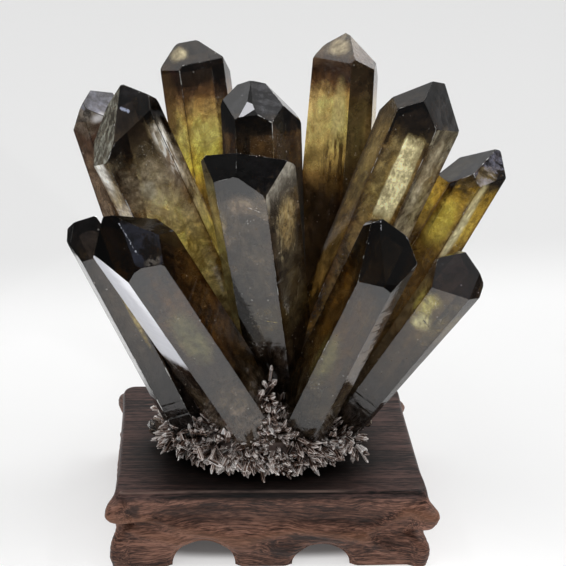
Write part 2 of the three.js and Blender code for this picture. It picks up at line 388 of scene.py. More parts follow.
# %% The cards
BLACK_INNER = (186, 320)
BLACK_OUTER = 4000
BLACK_SPAN = (-242, 28)
BLACK_POINTS = 90
BLACK_LIFT = 0.4
CARD_BLACK = (0.03, 0.03, 0.03, 1)
WHITE_MIDDLE = (-120, 85, 0.8)
WHITE_RADIUS = 80
WHITE_POOL = (-150, 100, 0)
WHITE_POOL_EDGE = (60, 92)
WHITE_GLOW, WHITE_LOSS = 1.3, 1.2


def black_card():
    """Cards are laid round a shiny subject, and only its mirror reflections see this one: a black ring
    on the table, from an oval inner edge outwards, open at the back."""
    angle = np.radians(np.linspace(*BLACK_SPAN, BLACK_POINTS))
    flat = np.stack([np.cos(angle), np.sin(angle)], 1)
    rings = np.concatenate([flat * BLACK_INNER, flat * BLACK_OUTER])
    points = np.column_stack([rings, np.full(len(rings), BLACK_LIFT)])
    card = mesh_object("black_card", points, grid_faces(2, BLACK_POINTS, closed=False))
    finish, maker = new_finish("black_card")
    maker.surface(maker.principled({"Base Color": CARD_BLACK, "Roughness": 1}))
    card.data.materials.append(finish)
    return card


def white_card():
    """A round card that glows in a pool and is darker beyond it. The left front crystals mirror it in
    strips that end where the pool ends."""
    card = disc("white_card", WHITE_RADIUS, WHITE_MIDDLE)
    finish, maker = new_finish("white_card")
    right, back, _ = maker.parts(maker.place())
    aside = oval_distance(right, back, WHITE_POOL, (1, 1)).power(0.5)
    glow = WHITE_GLOW - aside.between(*WHITE_POOL_EDGE) * WHITE_LOSS
    maker.surface(maker.node("ShaderNodeEmission", None, {"Color": glow, "Strength": 1}).outputs[0])
    card.data.materials.append(finish)
    return card


floor = disc("floor", FLOOR_RADIUS)
floor.data.materials.append(paper_finish())
cards = [black_card(), white_card()]
for card in cards:
    card.visible_camera = False
    card.visible_diffuse = False
    card.visible_transmission = False
    card.visible_shadow = False
print("table ready")

# %% The room and its lamps
# Each part of the room has a base glow, and gains more between two heights.
CEILING = {"base": 0.56, "gain": 0.62, "heights": (0.3, 0.6)}
BEHIND_VIEWER = {"base": 0.12, "gain": 0.7, "heights": (0.33, 1)}
VIEWER_SIDE = (-0.2, 0.5)
WINDOW_HEADING, WINDOW_HEIGHT = np.radians([130, 33])
WINDOW_EDGE = (0.965, 0.99)
WINDOW_GLOW = 2.2
TUBE_LENGTH, TUBE_WIDTH = 1.1, 0.035
LIT_PLACE = (0, 0, 100)


def window_direction():
    """The way to the window from its heading, 0 towards the viewer and + to the right, and its height."""
    flat = np.cos(WINDOW_HEIGHT)
    return np.array([np.sin(WINDOW_HEADING) * flat, -np.cos(WINDOW_HEADING) * flat, np.sin(WINDOW_HEIGHT)])


def rising_glow(up, part):
    return part["base"] + up.between(*part["heights"]) * part["gain"]


def make_room():
    """Light by direction: a dark room behind the viewer, a brighter ceiling with uneven panels, and a
    window at the back right."""
    world = bpy.data.worlds.new("room")
    bpy.context.scene.world = world
    maker = Maker(world)
    toward = maker.node("ShaderNodeTexCoord").outputs["Generated"]
    _, back, up = maker.parts(toward)
    viewer_side = (back * -1).between(*VIEWER_SIDE)
    glow = rising_glow(up, CEILING) * (1 - viewer_side) + rising_glow(up, BEHIND_VIEWER) * viewer_side
    panels = 0.6 + maker.noise(toward, 4.5, 3, 0.6).between(0.36, 0.64) * 0.8
    window = maker.measure("DOT_PRODUCT", toward, window_direction()).between(*WINDOW_EDGE)
    glow = glow * panels + window * WINDOW_GLOW
    room = maker.node("ShaderNodeBackground", None, {"Color": glow, "Strength": 1})
    maker.node("ShaderNodeOutputWorld", None, {"Surface": room.outputs[0]})


def tube_lamp(name, place, power):
    """A fluorescent tube, long and thin, turned to face the stand. It leaves small sharp glints."""
    light = bpy.data.lights.new(name, "AREA")
    light.shape = "RECTANGLE"
    light.size = TUBE_LENGTH
    light.size_y = TUBE_WIDTH
    light.energy = power
    lamp = bpy.data.objects.new(name, light)
    lamp.location = place
    away = Vector(place) - Vector(to_model(LIT_PLACE))
    lamp.rotation_euler = away.to_track_quat("Z", "Y").to_euler()
    bpy.context.scene.collection.objects.link(lamp)


make_room()
tube_lamp("right_tube", (0.95, 0.05, 1.3), 5)
tube_lamp("left_tube", (-0.75, -0.15, 1.2), 3)
bpy.context.scene.view_settings.view_transform = "Standard"
print("studio ready")

# %% [markdown]
# ## The large crystals
#
# A quartz crystal is a six-sided prism that ends in a point of sloping faces. Each is given as on a
# crystallographer's drawing: where its axis runs, how far each prism face stands from the axis, and
# where each sloping face cuts the axis. Real prism faces are never quite flat. They grow in thin
# terraces, whose edges run across the face, so the prism is a six-cornered profile carried along the
# axis with a small step at every terrace. The head is the body behind all the sloping planes.

# %% The twelve crystals
# Root and tip are in millimetres. "turn" is the heading in degrees of the front prism face, "sides"
# is how far the six faces stand from the axis at the tip's height, anticlockwise, and "taper" closes
# them in towards the root. Each of "tops" is a sloping face: heading from the front face, rise of its
# normal, and how far below the tip it crosses the axis.
CRYSTALS = {
    "front_left": {
        "node": "crystal_front_left_pair", "slot": "dark_quartz",
        "root": (-6.5, -15.5, 56), "tip": (-60, -46, 164), "turn": -80, "taper": 0,
        "sides": (14.5, 14, 14, 14.5, 14, 13.5),
        "tops": ((-30, 35, -6.5), (15, 32, -9), (100, 38, -4.5), (150, 38, -3.5), (-110, 38, -10)),
    },
    "low_left": {
        "node": "crystal_front_left_pair", "slot": "dark_quartz",
        "root": (-36.5, -14.5, 56), "tip": (-76, -40, 161), "turn": -90, "taper": 0,
        "sides": (6.5, 8.5, 7, 7, 6.5, 6.5),
        "tops": ((0, 30, 2.5), (-60, 40, -0.5), (180, 30, -2)),
    },
    "front_right": {
        "node": "crystal_front_right", "slot": "dark_quartz",
        "root": (14, -17, 56), "tip": (47, -50, 166.5), "turn": -110, "taper": 0,
        "sides": (10, 12.5, 9.5, 10, 13, 9),
        "tops": ((-8, 23, 2.5), (2, 29, 5.5), (120, 38, 0), (170, 38, 3.5), (-110, 38, -5.5)),
    },
    "low_right": {
        "node": "crystal_low_right", "slot": "dark_quartz",
        "root": (35, -12, 56), "tip": (77, -40, 147), "turn": -115, "taper": 2,
        "sides": (9, 12.5, 9.5, 10, 9, 9.5),
        "tops": ((63, 36, -5.5), (-20, 38, 4.5), (150, 38, 0), (-110, 38, -3)),
    },
    "front_centre": {
        "node": "crystal_centre_group", "slot": "smoky_quartz",
        "root": (8.5, 3.5, 56), "tip": (-11, -30, 187.5), "turn": -99, "taper": 1,
        "sides": (15.5, 14, 16, 16.5, 13, 18),
        "tops": ((43, 33, -13.5), (-15, 42, -16.5), (180, 38, 6.5), (-110, 38, -18), (110, 38, -12.5)),
    },
    "left": {
        "node": "crystal_centre_group", "slot": "smoky_quartz",
        "root": (-5, 2, 56), "tip": (-68, 2, 200.5), "turn": -81, "taper": 0.5,
        "sides": (10.5, 17, 14, 11.5, 15, 15),
        "tops": ((-16, 38, 5.5), (-70, 41, 10), (110, 38, -7), (180, 38, 2), (-130, 38, 3)),
    },
    "right": {
        "node": "crystal_centre_group", "slot": "smoky_quartz",
        "root": (11.5, -5.5, 56), "tip": (67, 14, 200), "turn": -109, "taper": 1,
        "sides": (14.5, 15, 14.5, 14.5, 15.5, 15),
        "tops": ((-49, 41, -4), (57, 42, -1), (110, 38, -5), (170, 38, -5), (-120, 38, 1)),
    },
    "back_centre": {
        "node": "crystal_centre_group", "slot": "smoky_quartz",
        "root": (3, 11.5, 56), "tip": (-5.5, 20, 198), "turn": -96, "taper": 0,
        "sides": (15.5, 13, 16, 15, 12, 15.5),
        "tops": ((-36, 40, -9), (30, 40, -6), (-7, 33, -13.9), (100, 38, -2.5), (180, 38, 6),
                 (-120, 38, -6)),
    },
    "outer_left": {
        "node": "crystal_outer_left", "slot": "smoky_quartz",
        "root": (-39.5, 10, 56), "tip": (-75.5, 30, 189.5), "turn": -78, "taper": 2,
        "sides": (10, 9.5, 9.5, 9.5, 10, 10),
        "tops": ((-20, 36, -8.5), (40, 38, -0.5), (180, 38, 1.5), (-110, 38, 1.5)),
    },
    "outer_right": {
        "node": "crystal_outer_right", "slot": "smoky_quartz",
        "root": (34.5, 8, 56), "tip": (90, 12, 171), "turn": -109, "taper": 0,
        "sides": (12.5, 10.5, 11.5, 13, 10, 12),
        "tops": ((-67, 36, 2), (39, 39, -3.5), (110, 38, -9), (-150, 38, -1.5)),
    },
    "back_left": {
        "node": "crystal_back_left", "slot": "smoky_quartz",
        "root": (-12.5, 26.5, 56), "tip": (-33.5, 56, 202), "turn": -73, "taper": 0,
        "sides": (10, 14, 12.5, 10.5, 13, 13),
        "tops": ((-2, 51, 0), (-60, 38, -6.5), (100, 38, -4), (180, 38, -0.5), (-120, 38, -7.5)),
    },
    "back_right": {
        "node": "crystal_back_right", "slot": "smoky_quartz",
        "root": (31, 27, 56), "tip": (36, 53.5, 207), "turn": -134, "taper": -1,
        "sides": (8.5, 10, 10.5, 11.5, 8, 17.5),
        "tops": ((0, 38, 0), (88, 46, 2), (160, 38, 2), (-120, 38, -4.5)),
    },
}
ROOT_LENGTH = 9
print(len(CRYSTALS), "large crystals")


# %% The shape of a crystal
FIRST_TERRACE = 1
TERRACE_SPACING = 4
TERRACE_HEIGHT = 0.02
TERRACE_RAMP = 0.9
TERRACE_JITTER = 0.7
CHIPS = 9
CHIP_DEPTH = (0.1, 0.4)
CHIP_TILT = 0.25
CHIP_ROOM = 2
SHOULDER_DROP = 1.5
SIDE_COLUMNS = 6
RING_SIZE = 6 * SIDE_COLUMNS
FIRST_SIDE = 1
FIRST_TOP = 7
NO_FACET = 0
ROUNDING = 1e-6
ON_PLANE = 1e-4
AT_CORNER = 1e-3


def axis_of(crystal):
    """The length of a crystal and the turn that lays its own +Z along the line from root to tip."""
    line = np.subtract(crystal["tip"], crystal["root"])
    length = np.linalg.norm(line)
    axis = line / length
    cross = np.array([[0, 0, axis[0]], [0, 0, axis[1]], [-axis[0], -axis[1], 0]])
    turn = np.eye(3) + cross + cross @ cross / (1 + axis[2])
    return length, turn


def heading_of(degrees):
    """The level direction at an angle, anticlockwise from the crystal's own +X."""
    return np.array([np.cos(np.radians(degrees)), np.sin(np.radians(degrees))])


def section_corners(crystal, heights, offsets):
    """The six corners of the prism's section at each height. A side's line stands at its distance
    from the axis, less the taper, plus its terrace, and neighbouring lines meet in a corner."""
    length, _ = axis_of(crystal)
    turns = crystal["turn"] + 60.0 * np.arange(6)
    first = heading_of(turns)
    second = heading_of(turns + 60)
    drawn_in = np.tan(np.radians(crystal["taper"])) * (length - heights)
    reach = np.array(crystal["sides"])[None, :] - drawn_in[:, None] + offsets
    following = np.roll(reach, -1, axis=1)
    across = (reach * second[1] - following * first[1]) / np.sin(np.radians(60))
    along = (following * first[0] - reach * second[0]) / np.sin(np.radians(60))
    return np.stack([across, along, np.repeat(heights[:, None], 6, 1)], -1)


def head_planes(crystal, base):
    """Outward normals and distances of the planes that bound the head above the given height."""
    length, _ = axis_of(crystal)
    taper = np.radians(crystal["taper"])
    normals = [np.array([0, 0, -1.0])]
    distances = [-base]
    for index, reach in enumerate(crystal["sides"]):
        flat = heading_of(crystal["turn"] + 60 * index)
        normal = np.array([*(flat * np.cos(taper)), -np.sin(taper)])
        normals.append(normal)
        distances.append(normal @ np.array([*(flat * reach), length]))
    for heading, rise, drop in crystal["tops"]:
        flat = heading_of(crystal["turn"] + heading) * np.cos(np.radians(rise))
        normal = np.array([*flat, np.sin(np.radians(rise))])
        normals.append(normal)
        distances.append(normal[2] * (length - drop))
    return np.array(normals), np.array(distances)


def corners_behind(normals, distances):
    """Where three planes meet, for all threes at once, kept where no plane cuts the point off."""
    threes = np.array(list(itertools.combinations(range(len(normals)), 3)))
    systems = normals[threes]
    solvable = np.abs(np.linalg.det(systems)) > ROUNDING
    points = np.linalg.solve(systems[solvable], distances[threes[solvable]][..., None])[..., 0]
    kept = points[np.all(points @ normals.T <= distances + ROUNDING, axis=1)]
    return np.unique(kept.round(5), axis=0)


def chipped(normals, distances, base, chance):
    """Adds small planes that knock off corners of the head, as on a crystal that has been handled."""
    corners = corners_behind(normals, distances)
    corners = corners[corners[:, 2] > base + CHIP_ROOM]
    for corner in corners[chance.permutation(len(corners))[:CHIPS]]:
        touching = np.abs(normals @ corner - distances) < AT_CORNER
        normal = normals[touching].sum(axis=0) + chance.normal(0, CHIP_TILT, 3)
        normal /= np.linalg.norm(normal)
        normals = np.vstack([normals, normal])
        distances = np.append(distances, normal @ corner - chance.uniform(*CHIP_DEPTH))
    return normals, distances


def ordered_face(points, normal, on_plane):
    """The corners on a plane, anticlockwise seen from outside."""
    indices = np.flatnonzero(on_plane)
    spread = points[indices] - points[indices].mean(axis=0)
    first = spread[0] / np.linalg.norm(spread[0])
    second = np.cross(normal, first)
    angles = np.arctan2(spread @ second, spread @ first)
    return indices[np.argsort(angles)].tolist()


def with_columns(rings):
    """Adds points between the six corners of each ring, so that a finish can know how near an edge is.
    Gives the points and their nearness, 1 on an edge and 0 in the middle of a face."""
    share = np.arange(SIDE_COLUMNS) / SIDE_COLUMNS
    following = np.roll(rings, -1, axis=1)
    columns = rings[:, :, None] + (following - rings)[:, :, None] * share[None, None, :, None]
    nearness = np.broadcast_to(np.abs(2 * share - 1), columns.shape[:3])
    return columns.reshape(-1, 3), nearness.ravel()


def shoulder_of(crystal):
    """Where the head starts: just below the lowest corner of its sloping faces."""
    corners = corners_behind(*head_planes(crystal, 0))
    return corners[corners[:, 2] > AT_CORNER][:, 2].min() - SHOULDER_DROP


def terraced_rings(crystal, shoulder, chance):
    """The body's sections from the root to the shoulder. Terraces start at even heights, moved a little
    by chance, and each shifts the six sides by its own small steps over a short ramp."""
    steps = int((shoulder + ROOT_LENGTH) / TERRACE_SPACING)
    spacing = (shoulder + ROOT_LENGTH - 2 * FIRST_TERRACE) / steps
    jitter = chance.uniform(0, TERRACE_JITTER, steps)
    edges = FIRST_TERRACE - ROOT_LENGTH + spacing * (np.arange(steps) + jitter)
    between = np.stack([edges, edges + TERRACE_RAMP], 1).ravel()
    heights = np.concatenate([[-ROOT_LENGTH], between, [shoulder]])
    rises = chance.normal(0, TERRACE_HEIGHT, (steps, 6))
    levels = np.vstack([rises, np.zeros((1, 6))])
    levels[:-1] += 0.5 * np.roll(rises, 1, axis=0)
    return section_corners(crystal, heights, np.repeat(levels, 2, axis=0))


def body_faces(rows):
    """The body's faces between its rings, closed at the root, and the facet that each belongs to."""
    side_of_column = (np.arange(RING_SIZE) // SIDE_COLUMNS + 1) % 6 + FIRST_SIDE
    faces = grid_faces(rows, RING_SIZE)
    faces.append(list(range(RING_SIZE - 1, -1, -1)))
    return faces, [*np.tile(side_of_column, rows - 1).tolist(), NO_FACET]


def shoulder_faces(last, corners):
    """Six faces from the body's last ring up to the head's lowest corners."""
    faces = []
    for side in range(6):
        below = [last + (side * SIDE_COLUMNS + step) % RING_SIZE for step in range(SIDE_COLUMNS + 1)]
        faces.append([*below, corners[(side + 1) % 6], corners[side]])
    return faces, [(side + 1) % 6 + FIRST_SIDE for side in range(6)]


def head_faces(head, start, normals, distances, named):
    """The face on each plane of the head, and its number, which is 0 on the chips."""
    faces, facets = [], []
    for number, (normal, distance) in enumerate(zip(normals[1:], distances[1:]), FIRST_SIDE):
        on_plane = np.abs(head @ normal - distance) < ON_PLANE
        if on_plane.sum() > 2:
            faces.append([index + start for index in ordered_face(head, normal, on_plane)])
            facets.append(number if number < named else NO_FACET)
    return faces, facets


def prism_mesh(name, crystal, chance):
    """A crystal as rings of six corners up to its shoulder, and the head's faces above them. Each point
    holds its place in the crystal, measured from the axis and down from the tip."""
    length, turn = axis_of(crystal)
    shoulder = shoulder_of(crystal)
    normals, distances = chipped(*head_planes(crystal, shoulder), shoulder, chance)
    head = corners_behind(normals, distances)
    rings = terraced_rings(crystal, shoulder, chance)
    body, nearness = with_columns(rings[:-1])
    corners = [int(np.argmin(np.linalg.norm(head - corner, axis=1))) + len(body) for corner in rings[-1]]
    named = FIRST_TOP + len(crystal["tops"])
    groups = [
        body_faces(len(rings) - 1),
        shoulder_faces(len(body) - RING_SIZE, corners),
        head_faces(head, len(body), normals, distances, named),
    ]
    faces, facets = [sum(lists, []) for lists in zip(*groups)]
    points = np.vstack([body, head])
    growth = np.column_stack([points[:, :2], length - points[:, 2]])
    edge = np.concatenate([nearness, np.full(len(head), 0.5)])
    places = points @ turn.T + crystal["root"]
    return mesh_object(name, places, faces, growth=growth, edge=edge, facet=facets)


def bevelled(piece, width, segments, sharpest=30):
    """Rounds the edges that are sharper than an angle, with the piece's last finish on them."""
    bevel = piece.modifiers.new("worn_edges", "BEVEL")
    bevel.width = width * MM
    bevel.segments = segments
    bevel.material = len(piece.data.materials) - 1
    bevel.limit_method = "ANGLE"
    bevel.angle_limit = np.radians(sharpest)


# %% [markdown]
# ## Smoky quartz
#
# The colour of morion lies in zones along its length. The head is black, below it the stone turns
# red-brown, then honey, and near the root it is clear olive. Glass with a base colour that changes
# along the axis gives that. Where tiny cracks and bubbles cloud the stone, light is scattered, and
# a second, cloudy shader is mixed in.

# %% Patches, lines and threads in the quartz
QUARTZ_IOR = 1.544
ZONE_REACH = 160
SOFT_RIM = (0.45, 1.15)
CRISP_RIM = (0.78, 0.96)
RIM_WOBBLE = 0.9
RAGGEDNESS = 12
STREAK_SHARE = (0.46, 0.58)


def soft_ball(maker, growth, wobble, at, reach, rim=SOFT_RIM):
    """1 near a place inside the crystal and 0 far from it: the distance from the place, each axis
    divided by its own reach, with a wavy edge."""
    away = maker.vector("SUBTRACT", growth, at)
    distance = maker.measure("LENGTH", maker.stretched(away, [1 / length for length in reach]))
    return 1 - (distance + (wobble - 0.5) * RIM_WOBBLE).between(*rim)


def patch_share(maker, growth, below, facet, wobble, patch):
    """How much of a patch lies here, from 0 to 1. A patch may keep to a soft ball, to a span of the
    crystal's length, to some facets and to streaks along one of its axes, or to all of these."""
    share = patch.get("strength", 1.0)
    if "span" in patch:
        start, full, fading, end = patch["span"]
        ragged = below + (wobble - 0.5) * RAGGEDNESS
        share = ragged.between(start, full) * (1 - ragged.between(fading, end)) * share
    if "at" in patch:
        rim = patch.get("rim", SOFT_RIM)
        share = soft_ball(maker, growth, wobble, patch["at"], patch["reach"], rim) * share
    if "tops" in patch or "sides" in patch:
        numbers = [FIRST_TOP + top for top in patch.get("tops", ())]
        numbers += [FIRST_SIDE + side for side in patch.get("sides", ())]
        share = sum(facet.math("COMPARE", number, 0.1) for number in numbers) * share
    if "drawn" in patch:
        streaks = maker.noise(maker.stretched(growth, patch["drawn"]), 1, 3, 0.6)
        share = streaks.between(*STREAK_SHARE) * share
    return share


def line_share(maker, growth, line):
    """1 on a straight line between two places and 0 beside it. The nearest place on the line is its
    start plus a share of its length, found with a dot product, and the line is broken up by noise."""
    start, end = np.array(line["start"], float), np.array(line["end"], float)
    along = end - start
    width = line["width"]
    from_start = maker.vector("SUBTRACT", growth, start)
    dotted = maker.measure("DOT_PRODUCT", from_start, along)
    onto = maker.times(along, dotted.math("DIVIDE", float(along @ along), clamp=True))
    crumbs = maker.noise(growth, 1.3, 3, 0.7)
    aside = maker.measure("DISTANCE", from_start, onto) + (crumbs - 0.5) * width * 3
    near = 1 - aside.between(width * 0.4, width)
    return near * (1 - crumbs.between(0.44, 0.54) * line.get("broken", 0))


# %% Smoky quartz finish
AMBER = (0.86, 0.76, 0.45, 1)
SMOKE = 45
GRAIN = 0.075
DRAWN_OUT = (1, 1, 0.85)
MARGIN = 0.7
MARGIN_TINT = (0.34, 0.2, 0.12, 1)
BLOTCH_TINTS = ((0.3, 0.24, 0.18, 1), (1.5, 1.5, 1.46, 1))
FLECK_TINTS = [(0.36, (0.6, 0.57, 0.54)), (0.5, (1, 1, 1)), (0.66, (1.7, 1.72, 1.75))]
CLEAR_GAIN = (2.6, 2.6, 2.6, 1)
MILKY_GAIN = (1.25, 1.25, 1.25, 1)
SPARK_SHADE = (0.75, 0.72, 0.66, 1)
SPECK_SCALE = 0.3
SPECK_RADIUS = 0.3


def quartz_noises(maker, growth):
    """The three mixtures of noise that mottle the stone, a little drawn out along the crystal."""
    drawn = maker.stretched(growth, DRAWN_OUT)
    broad = maker.noise(drawn, GRAIN, 5, 0.62, 0.3)
    fine = maker.noise(drawn, 0.42, 5, 0.66)
    cloud = maker.noise(drawn, GRAIN * 1.3, 6, 0.7, 1.0)
    blotch = (maker.noise(drawn, GRAIN * 1.6, 5, 0.62, 0.8) + (fine - 0.5) * 0.25).between(0.36, 0.64)
    return broad, fine, cloud, blotch


def zoned(maker, depth, shades, clouds):
    """The shade and the cloudy share of the stone at a distance below the tip."""
    shade = maker.ramp(depth, [(below / ZONE_REACH, colour) for below, colour in shades])
    grey = maker.ramp(depth, [(below / ZONE_REACH, (part,) * 3) for below, part in clouds])
    return shade, maker.add("ShaderNodeRGBToBW", None, {0: grey})


def patched(maker, growth, below, wobble, patches, shade, veil):
    """Lays the patches over the shade and the veil. Where a clean one lies, the last result falls to 0,
    which keeps mottling off it."""
    facet = maker.attribute("facet")
    kept = 1
    for patch in patches:
        inside = patch_share(maker, growth, below, facet, wobble, patch)
        shade = maker.mix(inside, shade, (*patch["shade"], 1))
        veil = veil + inside * (patch["cloud"] - veil)
        if "clean" in patch:
            kept = kept * (1 - inside)
    return shade, veil, kept


def sparks_in(maker, growth, fine, cloud, share, threads):
    """Where the stone shines: in small cracks of its clouds, in round specks, and in the threads' balls
    along lines where a noise crosses its middle value."""
    sparks = maker.noise(growth, 1.0, 1).between(0.73, 0.77)
    sparks = sparks * cloud.between(0.5, 0.62) * share.between(0.3, 0.6)
    inputs = {"Vector": growth, "Scale": SPECK_SCALE, "Randomness": 1}
    cells = maker.node("ShaderNodeTexVoronoi", None, inputs)
    size = maker.parts(cells.outputs["Color"])[0] * SPECK_RADIUS
    speck = Number(maker, cells.outputs["Distance"]).math("LESS_THAN", size - SPECK_RADIUS * 0.6)
    sparks = sparks + speck * (share * 2).math("MINIMUM", 1) * 0.8
    crumbs = maker.noise(growth, 1.1, 2)
    for thread in threads:
        inside = soft_ball(maker, growth, fine, thread["at"], thread["reach"])
        curls = maker.noise(growth, thread["scale"], 1, 0.5, 1.5)
        line = 1 - (curls - 0.5).math("ABSOLUTE").between(0.004, 0.016)
        sparks = sparks + inside * line * crumbs.between(0.5, 0.58)
    return sparks.math("MINIMUM", 1)


def quartz_relief(maker, growth):
    """The swell of a face, fine lines across the prism and small pits, as a bump."""
    swell = maker.noise(growth, 0.16, 3, 0.5)
    striae = maker.noise(maker.stretched(growth, (0.12, 0.12, 2.2)), 1, 2)
    pits = maker.noise(growth, 0.9, 4)
    return maker.bump(swell * 0.12 + striae * 0.008 + pits * 0.014, 1, MM)


def with_amber(maker, shader):
    """Ends the network with a shader and the amber that light takes on inside the stone."""
    amber = maker.node("ShaderNodeVolumeAbsorption", None, {"Color": AMBER, "Density": SMOKE})
    maker.surface(shader, Volume=amber.outputs[0])


def quartz_finish(name, shades, clouds, patches=(), threads=(), lines=(), mottle=0.6):
    """Quartz coloured by zones. A shade is a distance below the tip in millimetres and the colour that
    the stone shows there, and a cloud is a distance and the share of the stone that is cloudy. A patch
    has another shade, and some on facets are painted reflections. In a thread's ball fine cracks
    shine, and a line is a crack, a vein, or a painted glint along a ridge."""
    finish, maker = new_finish(name)
    growth = maker.node("ShaderNodeAttribute", {"attribute_name": "growth"}).outputs["Vector"]
    below = maker.parts(growth)[2]
    broad, fine, cloud, blotch = quartz_noises(maker, growth)
    depth = (below + (broad - 0.5) * 30 + (fine - 0.5) * 8) / ZONE_REACH
    shade, share = zoned(maker, depth, shades, clouds)
    veil = (cloud + share * 0.5 - 0.25).between(0.3, 0.75) * 0.9
    wobble = broad * 0.5 + fine * 0.5
    shade, veil, kept = patched(maker, growth, below, wobble, patches, shade, veil)
    shade = maker.tinted(shade, maker.mix(blotch, *BLOTCH_TINTS), kept * mottle)
    margin = (maker.attribute("edge") + (broad - 0.5) * 0.9).between(0.62, 1.05) * (kept * MARGIN)
    shade = maker.tinted(shade, MARGIN_TINT, margin)
    flecks = maker.ramp(fine * 0.6 + cloud * 0.4, FLECK_TINTS)
    milky = maker.tinted(maker.tinted(shade, flecks, kept), MILKY_GAIN)
    sparks = sparks_in(maker, growth, fine, cloud, share, threads)
    milky = maker.mix(sparks, milky, maker.mix(0.5, milky, SPARK_SHADE))
    veil = veil + sparks * (0.9 - veil)
    for line in lines:
        inside = line_share(maker, growth, line)
        milky = maker.mix(inside, milky, (*line["shade"], 1))
        veil = veil + inside * (1 - veil)
    surface = {"IOR": QUARTZ_IOR, "Normal": quartz_relief(maker, growth)}
    clear = {"Base Color": maker.tinted(shade, CLEAR_GAIN), "Roughness": 0.02 + veil * 0.08}
    glass = maker.principled({**clear, **surface, "Transmission Weight": 1})
    milk = maker.principled({"Base Color": milky, "Roughness": 0.1, **surface})
    with_amber(maker, maker.both(veil, glass, milk))
    return finish


def worn_edge_finish():
    """Edges pale here and there, with frost from wear and painted highlights, and clear smoky quartz
    between.
    """
    finish, maker = new_finish("worn_quartz_edge")
    place = maker.place()
    # Pale frost of wear and painted highlights along the edges.
    frost_and_glint = maker.noise(place, 140, 4, 0.7).between(0.5, 0.62)
    frost_and_glint = frost_and_glint * maker.noise(place, 30, 2).between(0.46, 0.56)
    clear = {"Base Color": (0.36, 0.29, 0.2, 1), "Roughness": 0.05}
    glass = maker.principled({**clear, "IOR": QUARTZ_IOR, "Transmission Weight": 1})
    pale = maker.principled({"Base Color": (0.7, 0.7, 0.68, 1), "Roughness": 0.3})
    with_amber(maker, maker.both(frost_and_glint, glass, pale))
    return finish


# %% The finish of each crystal
# "shades" and "clouds" are zones, each a distance below the tip with a colour or a cloudy share. A
# patch's "at" and "reach" are millimetres along the crystal's own axes, the third down from the tip.
# "span" is where a band starts, is full, fades and ends. "tops" and "sides" are numbers of facets,
# "drawn" turns a patch into streaks, and "clean" keeps mottling off it.
BLACK = (0.004, 0.003, 0.004)
DARK = (0.018, 0.012, 0.008)
SLATE = (0.03, 0.03, 0.033)


def spot(at, reach, shade, cloud, **more):
    """A patch in a soft ball."""
    return {"at": at, "reach": reach, "shade": shade, "cloud": cloud, **more}


def area(shade, cloud, **more):
    """A patch that is bounded in other ways."""
    return {"shade": shade, "cloud": cloud, **more}


# A line on the stone: a crack, a vein, or a painted glint along a ridge.
def crack_and_glint(start, end, width, shade, broken=0):
    return {"start": start, "end": end, "width": width, "shade": shade, "broken": broken}


def thread(at, reach, scale):
    return {"at": at, "reach": reach, "scale": scale}


